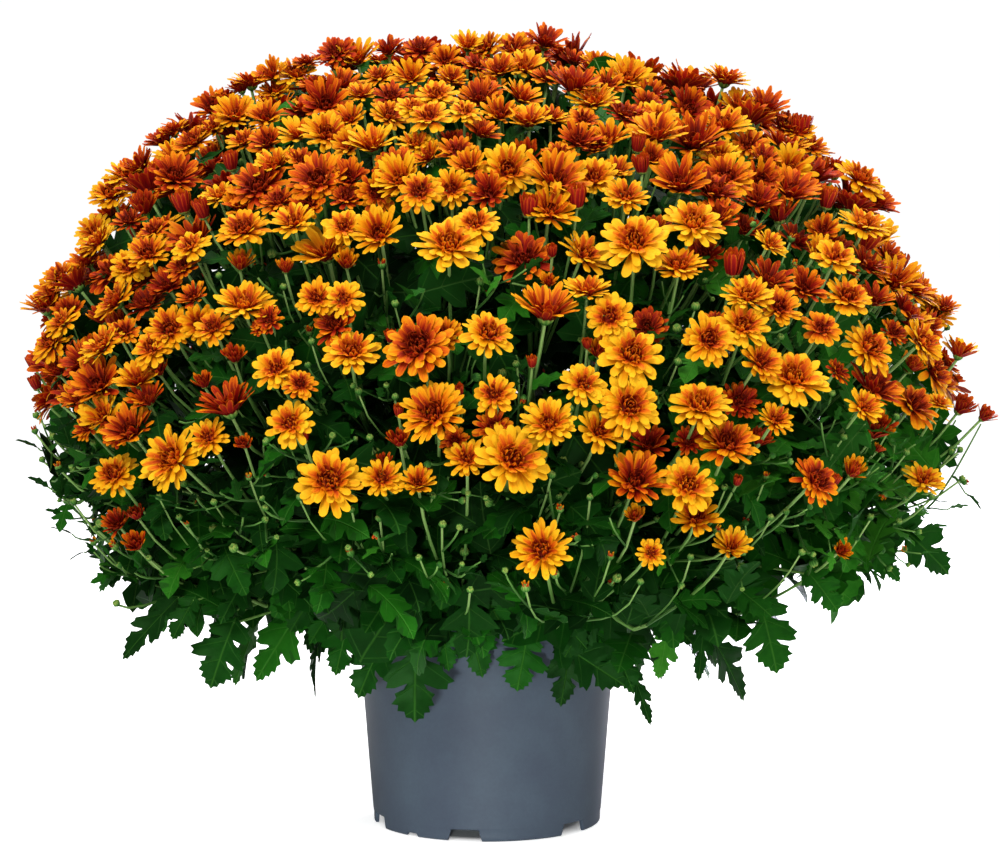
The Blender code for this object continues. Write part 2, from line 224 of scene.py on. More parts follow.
# ------------------------------------------------------------------ petals
WIDTHS = {
    6: ((0.0, 0.18, 0.42, 0.66, 0.88, 1.0), (0.26, 0.50, 0.80, 1.0, 0.92, 0.40)),
    5: ((0.0, 0.26, 0.58, 0.90, 1.0), (0.30, 0.68, 1.00, 0.97, 0.55)),
    4: ((0.0, 0.40, 0.86, 1.0), (0.38, 0.90, 1.00, 0.57)),
    3: ((0.0, 0.70, 1.0), (0.54, 1.0, 0.54)),
    2: ((0.0, 1.0), (0.90, 0.50)),
}


def petal_faces(n):
    """Faces of a closed petal: ridged on top, plain below, capped at both ends."""
    top, bot = [], []
    for j in range(n - 1):
        l0, r0, m0 = 3 * j, 3 * j + 1, 3 * j + 2
        l1, r1, m1 = l0 + 3, r0 + 3, m0 + 3
        top += [(l0, m0, m1, l1), (m0, r0, r1, m1)]
        bot += [(r0, l0, l1, r1)]
    k = 3 * (n - 1)
    caps = [(2, 0, 1), (k + 2, k + 1, k)]
    return np.array(top), np.array(bot), np.array(caps)


FACES = {n: petal_faces(n) for n in WIDTHS}


def petal_row(store, frame3, place, count, n, r0, z0, length, width, a0, a1, camber,
              var, top_kind=0, bot_kind=1, phase=0.0, jitter=1.0, thick=0.00032,
              bend=1.25, rng=RNG):
    """A ring of petals on a head; frame3 rows are the head's axes, place its centre."""
    s, w = (np.array(x) for x in WIDTHS[n])
    P = count
    phi = phase + (np.arange(P) + rng.uniform(-0.30, 0.30, P) * jitter) * math.tau / P
    L = length * (1.0 + rng.uniform(-0.15, 0.08, P) * jitter)
    W = width * (1.0 + rng.uniform(-0.16, 0.14, P) * jitter)
    A0 = a0 + rng.uniform(-0.13, 0.13, P) * jitter
    A1 = a1 + rng.normal(0.0, 0.20, P) * jitter
    side = rng.uniform(-0.16, 0.16, P) * jitter
    roll = rng.uniform(-0.34, 0.34, P) * jitter
    r0s = r0 * (1.0 + rng.uniform(-0.10, 0.10, P) * jitter)
    z0s = z0 + rng.uniform(-0.0007, 0.0007, P) * jitter
    mid = 0.5 * (s[1:] + s[:-1])
    ds = np.diff(s)
    am = A0[:, None] + (A1 - A0)[:, None] * mid[None, :] ** bend
    r = r0s[:, None] + np.concatenate([np.zeros((P, 1)),
                                       np.cumsum(np.cos(am) * ds, 1)], 1) * L[:, None]
    z = z0s[:, None] + np.concatenate([np.zeros((P, 1)),
                                       np.cumsum(np.sin(am) * ds, 1)], 1) * L[:, None]
    al = A0[:, None] + (A1 - A0)[:, None] * s[None, :] ** bend
    nr, nz = -np.sin(al), np.cos(al)
    half = 0.5 * W[:, None] * w[None, :]
    drift = side[:, None] * (s[None, :] ** 2) * L[:, None]
    ro = roll[:, None] * (0.25 + 0.75 * s[None, :])
    crest = camber * half + thick

    def put(across, lift, forward=0.0):
        rr = r + nr * lift + np.cos(al) * forward
        zz = z + nz * lift + np.sin(al) * forward
        tt = drift + across
        c, sn = np.cos(phi)[:, None], np.sin(phi)[:, None]
        return np.stack([rr * c - tt * sn, rr * sn + tt * c, zz], -1)   # P, n, 3

    tipf = np.zeros(len(s)); tipf[-1] = 0.04
    forward = tipf[None, :] * L[:, None]
    left = put(half * np.cos(ro), half * np.sin(ro))
    right = put(-half * np.cos(ro), -half * np.sin(ro))
    ridge = put(0.0 * half, crest, forward)
    local = np.stack([left, right, ridge], 2).reshape(P, -1, 3)
    k = local.shape[1]
    world = local.reshape(-1, 3) @ frame3 + place
    ft, fb, fc = FACES[n]
    off = (np.arange(P) * k)[:, None, None]
    uva = np.tile([0.0, 1.0, 0.5], len(s))
    uvt = np.repeat(s, 3)
    vv = np.broadcast_to(np.asarray(var), (P,))[:, None, None]
    flat = lambda x: x.reshape((-1,) + x.shape[2:])
    ut = flat(cell(top_kind, vv, uva[ft][None], uvt[ft][None]) + np.zeros((P, 1, 1, 1)))
    ub = flat(cell(bot_kind, vv, uva[fb][None], uvt[fb][None]) + np.zeros((P, 1, 1, 1)))
    uc = flat(cell(bot_kind, vv, uva[fc][None], uvt[fc][None]) + np.zeros((P, 1, 1, 1)))
    store.add(world, np.concatenate([flat(ft[None] + off), flat(fb[None] + off)]),
              np.concatenate([ut, ub]), flat(fc[None] + off), uc)


def lathe(store, frame3, place, profile, sides, kind, var, ragged=0.0, t_span=(0.0, 1.0),
          sink=0.0):
    """A closed turned shape; profile is (radius, height) from the low end up."""
    prof = np.array(profile, float)
    ang = np.arange(sides) * math.tau / sides
    rows = []
    for j, (r, h) in enumerate(prof):
        hh = h + (ragged * np.where(np.arange(sides) % 2 == 0, 1.0, -0.4)
                  if j == len(prof) - 1 else 0.0)
        rows.append(np.stack([r * np.cos(ang), r * np.sin(ang),
                              np.broadcast_to(hh, (sides,))], -1))
    v = np.concatenate(rows + [np.array([[0, 0, prof[0][1]]]),
                               np.array([[0, 0, prof[-1][1] - 0.2 * abs(ragged) - sink]])])
    m = len(prof)
    q, qu, t, tu = [], [], [], []
    t0, t1 = t_span
    for j in range(m - 1):
        for i in range(sides):
            i2 = (i + 1) % sides
            q.append((j * sides + i, j * sides + i2, (j + 1) * sides + i2, (j + 1) * sides + i))
            a0, a1 = i / sides, (i + 1) / sides
            ta, tb = t0 + (t1 - t0) * j / (m - 1), t0 + (t1 - t0) * (j + 1) / (m - 1)
            qu.append([cell(kind, var, a, b) for a, b in
                       ((a0, ta), (a1, ta), (a1, tb), (a0, tb))])
    lo, hi = m * sides, m * sides + 1
    for i in range(sides):
        i2 = (i + 1) % sides
        t.append((lo, i2, i))
        tu.append([cell(kind, var, 0.5, t0)] * 3)
        t.append((hi, (m - 1) * sides + i, (m - 1) * sides + i2))
        tu.append([cell(kind, var, 0.5, t1)] * 3)
    store.add(v @ frame3 + place, q, np.array(qu), t, np.array(tu))


def tube(store, pts, radii, sides, kind, var):
    """A closed tapered tube along the points."""
    pts = np.asarray(pts, float)
    n = len(pts)
    tan = np.gradient(pts, axis=0)
    tan /= np.maximum(1e-9, np.linalg.norm(tan, axis=1))[:, None]
    ref = np.array([0.0, 0.0, 1.0]) if abs(tan[0][2]) < 0.9 else np.array([1.0, 0.0, 0.0])
    x = unit(np.cross(ref, tan[0]))
    ang = np.arange(sides) * math.tau / sides
    ca, sa = np.cos(ang)[:, None], np.sin(ang)[:, None]
    rings = []
    for k in range(n):
        x = unit(x - tan[k] * (x @ tan[k]))
        y = np.cross(tan[k], x)
        rings.append(pts[k] + (x * ca + y * sa) * radii[k])
    v = np.concatenate(rings + [pts[:1], pts[-1:]])
    j, i = np.meshgrid(np.arange(n - 1), np.arange(sides), indexing="ij")
    i2 = (i + 1) % sides
    q = np.stack([j * sides + i, j * sides + i2, (j + 1) * sides + i2,
                  (j + 1) * sides + i], -1).reshape(-1, 4)
    a0, a1 = i / sides, (i + 1) / sides
    t0, t1 = j / (n - 1), (j + 1) / (n - 1)
    qu = np.stack([cell(kind, var, a, t) for a, t in
                   ((a0, t0), (a1, t0), (a1, t1), (a0, t1))], 2).reshape(-1, 4, 2)
    k = np.arange(sides)
    k2 = (k + 1) % sides
    lo, hi = n * sides, n * sides + 1
    t = np.concatenate([np.stack([np.full(sides, lo), k2, k], -1),
                        np.stack([np.full(sides, hi), (n - 1) * sides + k,
                                  (n - 1) * sides + k2], -1)])
    tu = np.concatenate([np.broadcast_to(cell(kind, var, 0.5, 0.0), (sides, 3, 2)),
                         np.broadcast_to(cell(kind, var, 0.5, 1.0), (sides, 3, 2))])
    store.add(v, q, qu, t, tu)


def bezier(p0, p1, p2, p3, n):
    t = np.linspace(0.0, 1.0, n)[:, None]
    return ((1 - t) ** 3 * p0 + 3 * (1 - t) ** 2 * t * p1
            + 3 * (1 - t) * t ** 2 * p2 + t ** 3 * p3)


# ------------------------------------------------------------------ leaves
# one side of a blade: how far out, how far along, and where its vein leaves the midrib
LOBED = ((0.03, 0.00, 0.00), (0.26, 0.03, 0.03), (0.62, 0.10, 0.06), (0.56, 0.16, 0.09),
         (0.80, 0.24, 0.13), (0.66, 0.30, 0.18), (0.24, 0.29, 0.24), (0.50, 0.35, 0.29),
         (0.84, 0.42, 0.33), (0.80, 0.48, 0.37), (1.00, 0.57, 0.41), (0.84, 0.62, 0.46),
         (0.72, 0.64, 0.51), (0.30, 0.60, 0.57), (0.50, 0.67, 0.64), (0.58, 0.75, 0.71),
         (0.46, 0.79, 0.77), (0.46, 0.87, 0.84), (0.28, 0.90, 0.90), (0.20, 0.965, 0.96))
TOOTHED = ((0.03, 0.00, 0.00), (0.12, 0.02, 0.02), (0.36, 0.06, 0.035), (0.60, 0.095, 0.055),
           (0.55, 0.135, 0.075), (0.80, 0.215, 0.105), (0.68, 0.245, 0.135),
           (0.72, 0.295, 0.165), (0.50, 0.305, 0.195), (0.20, 0.290, 0.235),
           (0.36, 0.345, 0.270), (0.72, 0.390, 0.295), (0.70, 0.440, 0.320),
           (1.00, 0.545, 0.355), (0.85, 0.575, 0.390), (0.88, 0.635, 0.425),
           (0.62, 0.635, 0.465), (0.24, 0.585, 0.510), (0.34, 0.645, 0.550),
           (0.58, 0.690, 0.590), (0.50, 0.735, 0.630), (0.60, 0.800, 0.675),
           (0.42, 0.810, 0.720), (0.44, 0.875, 0.770), (0.27, 0.885, 0.820),
           (0.24, 0.945, 0.875), (0.10, 0.955, 0.930))
SMALL = ((0.03, 0.00, 0.00), (0.42, 0.07, 0.04), (0.80, 0.22, 0.11), (0.62, 0.30, 0.17),
         (0.24, 0.29, 0.24), (0.72, 0.40, 0.30), (1.00, 0.56, 0.38), (0.72, 0.63, 0.46),
         (0.28, 0.595, 0.54), (0.58, 0.76, 0.67), (0.42, 0.86, 0.80), (0.18, 0.945, 0.91))
PLAIN = ((0.03, 0.00, 0.00), (0.46, 0.07, 0.05), (0.80, 0.24, 0.13), (0.28, 0.29, 0.24),
         (0.78, 0.42, 0.33), (1.00, 0.57, 0.42), (0.34, 0.60, 0.56), (0.58, 0.75, 0.71),
         (0.40, 0.89, 0.87))


def leaf_template(side, cols):
    pts = np.array(side)
    n, m = len(pts), 2 * cols + 1
    f = np.abs(np.arange(-cols, cols + 1)) / cols
    x = pts[:, :1] * (np.arange(-cols, cols + 1) / cols)[None, :]
    y = pts[:, 2:3] + (pts[:, 1:2] - pts[:, 2:3]) * f[None, :]
    low = np.arange(n * m).reshape(n, m).copy()
    extra, c = [], n * m + 1
    for j in range(1, n):
        for k in range(1, m - 1):
            low[j, k] = c
            extra.append(j * m + k)
            c += 1
    up = np.arange(n * m).reshape(n, m)
    tip = n * m
    q, side_of = [], []
    for j in range(n - 1):
        for k in range(m - 1):
            q.append((up[j, k], up[j, k + 1], up[j + 1, k + 1], up[j + 1, k]))
            side_of.append(0)
    for j in range(n - 1):
        for k in range(m - 1):
            q.append((low[j + 1, k], low[j + 1, k + 1], low[j, k + 1], low[j, k]))
            side_of.append(1)
    t, tside = [], []
    for k in range(m - 1):
        t.append((up[n - 1, k], up[n - 1, k + 1], tip))
        tside.append(0)
        t.append((tip, low[n - 1, k + 1], low[n - 1, k]))
        tside.append(1)
    X = np.concatenate([x.ravel(), [0.0]])
    Y = np.concatenate([y.ravel(), [1.0]])
    X = np.concatenate([X, X[extra]])
    Y = np.concatenate([Y, Y[extra]])
    sgn = np.zeros(len(X))
    sgn[extra] = 1.0
    sgn[n * m + 1:] = -1.0
    q, t = np.array(q), np.array(t)
    ua, va = 0.5 + 0.5 * X, Y
    quv = (ua[q], va[q], np.array(side_of)[:, None])
    tuv = (ua[t], va[t], np.array(tside)[:, None])
    outer = np.array([abs(i) for i in np.tile(np.arange(-cols, cols + 1), n)] + [0])
    return dict(X=X, Y=Y, s=sgn, q=q, t=t, quv=quv, tuv=tuv)


DEEP = ((0.05, 0.00, 0.00), (0.80, 0.20, 0.11), (0.48, 0.30, 0.22), (1.00, 0.54, 0.40),
        (0.50, 0.62, 0.55), (0.42, 0.86, 0.80))
LEAF_FORMS = {"deep": leaf_template(DEEP, 1), "big": leaf_template(TOOTHED, 2), "mid": leaf_template(LOBED, 1),
              "low": leaf_template(SMALL, 1), "screen": leaf_template(PLAIN, 1)}


LOW_HEADS = []


def runs_through_head(v):
    """Whether a blade would run through one of the small heads low on the front."""
    return any((np.linalg.norm(v - c, axis=1) < r).any() for c, r in LOW_HEADS)


def leaf(store, base, along, face, length, width, var, form="mid", droop=0.7,
         fold=0.25, wave=0.05, rng=RNG):
    """A lobed blade that starts at base, runs along `along`, its upper side to `face`."""
    if form == "screen" and near_edge(base + unit(along) * (0.6 * length)):
        form = "low"
    T = LEAF_FORMS[form]
    if form != "big" and base[1] < 0.06:
        # painted light: the foliage is made a little paler toward the right front, as if more light fell on it there
        var = min(7, var + int(np.interp(base[0], (0.02, 0.07, 0.13, 0.20), (0, 1, 2, 3))))
    X, Y = T["X"], T["Y"]
    y = unit(along)
    z = unit(np.asarray(face, float) - y * (np.asarray(face) @ y))
    x = np.cross(y, z)
    # each lobe a little longer or shorter, and one side broader than the other
    ph = rng.uniform(0, math.tau, 3)
    X = X * (1.0 + 0.10 * np.sin(Y * 11.0 + ph[0] + (X > 0) * 2.0)
             + rng.uniform(-0.08, 0.08) * np.sign(X))
    ang = -droop * np.clip(Y, 0, 1.1) ** 1.3
    # centre line height and reach from the bending angle, integrated once
    tt = np.linspace(0.0, 1.1, 23)
    aa = -droop * tt ** 1.3
    cy = np.concatenate([[0], np.cumsum(np.cos(0.5 * (aa[1:] + aa[:-1])) * np.diff(tt))])
    cz = np.concatenate([[0], np.cumsum(np.sin(0.5 * (aa[1:] + aa[:-1])) * np.diff(tt))])
    oy, oz = np.interp(Y, tt, cy) * length, np.interp(Y, tt, cz) * length
    off = X * 0.5 * width
    r = np.abs(X)
    lift = (fold * np.abs(off) - 0.42 * fold * np.abs(off) * r ** 1.5
            + wave * length * r * np.sin(ph[1] + Y * 13.0 + (X > 0) * 1.9)
            + 0.4 * wave * length * r * np.sin(ph[2] + Y * 29.0))
    lift = lift + T["s"] * 0.00030
    turn = rng.uniform(-0.30, 0.30) * Y
    ox = off * np.cos(turn) - lift * np.sin(turn)
    lf = off * np.sin(turn) + lift * np.cos(turn)
    ny, nz = -np.sin(ang), np.cos(ang)
    v = (ox[:, None] * x + (oy + ny * lf)[:, None] * y + (oz + nz * lf)[:, None] * z + base)

    def uv(part):
        a, t, k = part
        return np.stack([(k + 0.5 + (a - 0.5) * 0.90) / 2.0,
                         (var + 0.5 + (t - 0.5) * 0.90) / ROWS], -1)
    if form != "big" and runs_through_head(v):
        return
    store.add(v, T["q"], uv(T["quv"]), T["t"], uv(T["tuv"]))


# ------------------------------------------------------------------ materials
def lin(h):
    h = h.lstrip("#")
    c = [int(h[i:i + 2], 16) / 255.0 for i in (0, 2, 4)]
    return tuple(x / 12.92 if x <= 0.04045 else ((x + 0.055) / 1.055) ** 2.4 for x in c) + (1.0,)


class Nodes:
    def __init__(self, name):
        self.mat = bpy.data.materials.new(name)
        self.mat.use_nodes = True
        self.tree = self.mat.node_tree
        self.bsdf = self.tree.nodes["Principled BSDF"]

    def new(self, kind, **props):
        node = self.tree.nodes.new(kind)
        for k, v in props.items():
            setattr(node, k, v)
        return node

    def link(self, a, b):
        self.tree.links.new(a, b)

    def math(self, op, a, b=None, c=None, clamp=False):
        node = self.new("ShaderNodeMath", operation=op, use_clamp=clamp)
        for i, x in enumerate((a, b, c)):
            if x is None:
                continue
            if isinstance(x, (int, float)):
                node.inputs[i].default_value = x
            else:
                self.link(x, node.inputs[i])
        return node.outputs[0]

    def ramp(self, fac, stops, interp="LINEAR"):
        node = self.new("ShaderNodeValToRGB")
        node.color_ramp.interpolation = interp
        el = node.color_ramp.elements
        while len(el) > 1:
            el.remove(el[-1])
        el[0].position, el[0].color = stops[0][0], stops[0][1]
        for pos, col in stops[1:]:
            e = el.new(pos)
            e.color = col
        self.link(fac, node.inputs[0])
        return node.outputs[0]

    def mix(self, fac, a, b, blend="MIX"):
        node = self.new("ShaderNodeMix", data_type="RGBA", blend_type=blend)
        for sock, x in ((node.inputs[0], fac), (node.inputs[6], a), (node.inputs[7], b)):
            if isinstance(x, (int, float)):
                sock.default_value = x
            elif isinstance(x, tuple):
                sock.default_value = x
            else:
                self.link(x, sock)
        return node.outputs[2]

    def chart(self, cols, rows):
        """Across, along, column and row of the colour chart, from the UV map."""
        uv = self.new("ShaderNodeUVMap", uv_map="OFBake")
        sep = self.new("ShaderNodeSeparateXYZ")
        self.link(uv.outputs[0], sep.inputs[0])
        cu = self.math("MULTIPLY", sep.outputs[0], cols)
        rv = self.math("MULTIPLY", sep.outputs[1], rows)
        kind, var = self.math("FLOOR", cu), self.math("FLOOR", rv)
        a = self.math("SUBTRACT", cu, kind)
        t = self.math("SUBTRACT", rv, var)
        stretch = lambda x: self.math("ADD", self.math(
            "MULTIPLY", self.math("SUBTRACT", x, 0.5), 1.0 / 0.90), 0.5)
        return stretch(a), stretch(t), kind, var

    def noise(self, vec, scale, detail=2.0, rough=0.5):
        node = self.new("ShaderNodeTexNoise")
        node.inputs["Scale"].default_value = scale
        node.inputs["Detail"].default_value = detail
        node.inputs["Roughness"].default_value = rough
        if vec is not None:
            self.link(vec, node.inputs["Vector"])
        return node.outputs["Fac"]

    def vec(self, x, y, z):
        node = self.new("ShaderNodeCombineXYZ")
        for i, s in enumerate((x, y, z)):
            if isinstance(s, (int, float)):
                node.inputs[i].default_value = s
            else:
                self.link(s, node.inputs[i])
        return node.outputs[0]

    def base(self, colour, rough, spec=0.5):
        if isinstance(colour, tuple):
            self.bsdf.inputs["Base Color"].default_value = colour
        else:
            self.link(colour, self.bsdf.inputs["Base Color"])
        if isinstance(rough, (int, float)):
            self.bsdf.inputs["Roughness"].default_value = rough
        else:
            self.link(rough, self.bsdf.inputs["Roughness"])
        self.bsdf.inputs["Specular IOR Level"].default_value = spec

    def bump(self, height, strength, distance):
        node = self.new("ShaderNodeBump")
        node.inputs["Strength"].default_value = strength
        node.inputs["Distance"].default_value = distance
        self.link(height, node.inputs["Height"])
        self.link(node.outputs[0], self.bsdf.inputs["Normal"])


def petal_material():
    m = Nodes("petals")
    a, t, kind, var = m.chart(COLS, ROWS)
    edge = m.math("MULTIPLY", m.math("ABSOLUTE", m.math("SUBTRACT", a, 0.5)), 2.0)
    streak = m.noise(m.vec(m.math("MULTIPLY", a, 9.0), m.math("MULTIPLY", t, 1.1),
                           m.math("ADD", m.math("MULTIPLY", kind, 5.3),
                                  m.math("MULTIPLY", var, 3.7))), 1.0, 3.0, 0.6)
    st = m.math("MULTIPLY", m.math("SUBTRACT", streak, 0.5), 0.76)
    # how yellow: more towards the tip and the edges, less in the deeper variants
    y = m.math("MULTIPLY", m.math("POWER", t, 0.75), 0.92)
    y = m.math("ADD", y, m.math("MULTIPLY", m.math("POWER", edge, 2.0), 0.16))
    y = m.math("ADD", y, st)
    y = m.math("SUBTRACT", y, m.math("MULTIPLY", var, 0.098))
    y = m.math("SUBTRACT", y, m.math("MULTIPLY", m.math("GREATER_THAN", var, 5.5), 0.10))
    y = m.math("SUBTRACT", y, m.math("MULTIPLY", m.math("GREATER_THAN", var, 6.5), 0.08))
    top = m.ramp(m.math("ADD", y, 0.14, clamp=True), (
        (0.00, lin("#850F05")), (0.15, lin("#AF2F04")), (0.31, lin("#D05904")),
        (0.49, lin("#E27D05")), (0.72, lin("#EA9D09")), (1.00, lin("#F0B418"))))
    iy = m.math("ADD", m.math("MULTIPLY", t, 0.62), m.math("MULTIPLY", m.math("POWER", edge, 2.0), 0.30))
    iy = m.math("SUBTRACT", m.math("ADD", iy, st), m.math("MULTIPLY", var, 0.060))
    inner = m.ramp(m.math("ADD", iy, 0.02, clamp=True), (
        (0.00, lin("#560C04")), (0.24, lin("#8E2006")), (0.46, lin("#C64B08")),
        (0.70, lin("#E38409")), (1.00, lin("#EEAA18"))))
    ry = m.math("ADD", m.math("MULTIPLY", t, 0.42), m.math("MULTIPLY", st, 0.7))
    ry = m.math("SUBTRACT", ry, m.math("MULTIPLY", var, 0.030))
    rim = m.math("POWER", edge, 3.2)
    ry = m.math("ADD", ry, m.math("MULTIPLY", rim, 0.42))
    back = m.ramp(m.math("ADD", ry, 0.13, clamp=True), (
        (0.00, lin("#6A060D")), (0.26, lin("#921210")), (0.46, lin("#B4360E")),
        (0.68, lin("#D46A0B")), (1.00, lin("#EEA417"))))
    # green parts: cup of bracts, then the round buds in the higher rows
    scale = m.math("ABSOLUTE", m.math("SINE", m.math("MULTIPLY", a, 31.4)))
    g = m.math("ADD", m.math("MULTIPLY", t, 0.6), m.math("MULTIPLY", scale, 0.25))
    green = m.ramp(m.math("ADD", g, m.math("MULTIPLY", st, 0.6), clamp=True), (
        (0.00, lin("#1E4618")), (0.35, lin("#386C26")), (0.62, lin("#6A9240")),
        (0.82, lin("#A2A850")), (1.00, lin("#C09A3C"))))
    k1 = m.math("GREATER_THAN", kind, 0.5)
    k2 = m.math("GREATER_THAN", kind, 1.5)
    k3 = m.math("GREATER_THAN", kind, 2.5)
    col = m.mix(k1, top, back)
    col = m.mix(k2, col, inner)
    col = m.mix(k3, col, green)
    m.base(col, 0.58, 0.08)
    m.bump(streak, 0.5, 0.0005)
    return m.mat


def leaf_material():
    m = Nodes("leaves")
    a, t, kind, var = m.chart(2.0, ROWS)
    x = m.math("MULTIPLY", m.math("ABSOLUTE", m.math("SUBTRACT", a, 0.5)), 2.0)
    mid = m.math("SUBTRACT", 1.0, m.math("MULTIPLY", x, 21.0), clamp=True)
    lat = m.math("SUBTRACT", m.math("SUBTRACT", t, m.math("MULTIPLY", x, 0.27)), 0.045)
    lat = m.math("FRACT", m.math("MULTIPLY", lat, 3.7))
    lat = m.math("ABSOLUTE", m.math("SUBTRACT", lat, 0.5))
    lat = m.math("MULTIPLY", m.math("SUBTRACT", lat, 0.454), 24.0, clamp=True)
    lat = m.math("MULTIPLY", lat, m.math("SUBTRACT", 1.0, m.math("MULTIPLY", x, 0.9), clamp=True))
    vein = m.math("MAXIMUM", mid, m.math("MULTIPLY", lat, 0.62))
    n = m.noise(m.vec(m.math("MULTIPLY", a, 3.0), m.math("MULTIPLY", t, 4.0),
                      m.math("MULTIPLY", var, 2.3)), 2.0, 4.0, 0.6)
    f = m.math("ADD", m.math("MULTIPLY", var, 0.125), m.math("MULTIPLY", m.math("SUBTRACT", n, 0.5), 0.35))
    top = m.ramp(m.math("ADD", f, 0.04, clamp=True), (
        (0.00, lin("#071B07")), (0.25, lin("#0C310A")), (0.50, lin("#13450D")),
        (0.75, lin("#205E12")), (1.00, lin("#3A7C20"))))
    pale = m.math("MULTIPLY", vein, m.math("ADD", 0.20, m.math("MULTIPLY", var, 0.035)))
    top = m.mix(pale, top, lin("#4E8C30"))
    low = m.ramp(m.math("ADD", f, 0.05, clamp=True), (
        (0.00, lin("#0C260A")), (0.50, lin("#143C10")), (1.00, lin("#26581A"))))
    low = m.mix(m.math("MULTIPLY", vein, 0.35), low, lin("#4C7634"))
    col = m.mix(m.math("GREATER_THAN", kind, 0.5), top, low)
    dull = m.math("MULTIPLY", m.math("GREATER_THAN", kind, 0.5), 0.50)
    m.base(col, m.math("ADD", dull, m.math("ADD", 0.38, m.math("MULTIPLY", n, 0.12))), 0.11)
    m.bsdf.inputs["Specular Tint"].default_value = (0.30, 0.86, 0.22, 1.0)
    h = m.math("SUBTRACT", m.math("MULTIPLY", n, 0.5), vein)
    m.bump(h, 0.6, 0.0008)
    return m.mat


def stem_material():
    m = Nodes("stems")
    a, t, kind, var = m.chart(COLS, ROWS)
    n = m.noise(m.vec(m.math("MULTIPLY", a, 6.0), m.math("MULTIPLY", t, 5.0),
                      m.math("MULTIPLY", var, 1.9)), 1.6, 3.0, 0.6)
    rib = m.math("ABSOLUTE", m.math("SINE", m.math("MULTIPLY", a, 15.7)))
    # painted shade: each stem runs darker from where it starts, deep in the canopy's shadow, and paler toward its tip
    f = m.math("ADD", m.math("MULTIPLY", t, 0.62), m.math("MULTIPLY", n, 0.28))
    f = m.math("ADD", f, m.math("MULTIPLY", rib, 0.12))
    f = m.math("SUBTRACT", f, m.math("MULTIPLY", var, 0.045))
    col = m.ramp(m.math("ADD", f, 0.05, clamp=True), (
        (0.00, lin("#1A3612")), (0.35, lin("#3A6428")), (0.65, lin("#6A9646")),
        (1.00, lin("#A8C678"))))
    m.base(col, 0.50, 0.25)
    m.bsdf.inputs["Specular Tint"].default_value = (0.62, 0.95, 0.45, 1.0)
    return m.mat


def pot_material():
    m = Nodes("pot_plastic")
    geo = m.new("ShaderNodeTexCoord").outputs["Object"]
    n1 = m.noise(geo, 26.0, 5.0, 0.6)
    n2 = m.noise(geo, 420.0, 2.0, 0.5)
    f = m.math("ADD", m.math("MULTIPLY", n1, 0.8), m.math("MULTIPLY", n2, 0.2))
    col = m.ramp(f, ((0.25, lin("#373D49")), (0.50, lin("#3C444F")), (0.75, lin("#424C56"))))
    rough = m.math("ADD", 0.42, m.math("MULTIPLY", n1, 0.10))
    m.base(col, rough, 0.16)
    m.bump(n2, 0.12, 0.0003)
    return m.mat


def soil_material():
    m = Nodes("peat")
    geo = m.new("ShaderNodeTexCoord").outputs["Object"]
    n1 = m.noise(geo, 190.0, 6.0, 0.7)
    n2 = m.noise(geo, 30.0, 3.0, 0.5)
    f = m.math("ADD", m.math("MULTIPLY", n1, 0.7), m.math("MULTIPLY", n2, 0.3))
    col = m.ramp(f, ((0.30, lin("#160E08")), (0.50, lin("#2E2014")), (0.72, lin("#4A3824"))))
    m.base(col, 0.95, 0.2)
    m.bump(n1, 0.8, 0.0015)
    return m.mat


def bark_material():
    m = Nodes("old_wood")
    geo = m.new("ShaderNodeTexCoord").outputs["Object"]
    n1 = m.noise(geo, 120.0, 5.0, 0.65)
    col = m.ramp(n1, ((0.30, lin("#3A2E1C")), (0.55, lin("#6A5836")), (0.80, lin("#8C7A50"))))
    m.base(col, 0.85, 0.2)
    m.bump(n1, 0.7, 0.001)
    return m.mat


M_PETAL, M_LEAF, M_STEM = petal_material(), leaf_material(), stem_material()
M_POT, M_SOIL, M_BARK = pot_material(), soil_material(), bark_material()

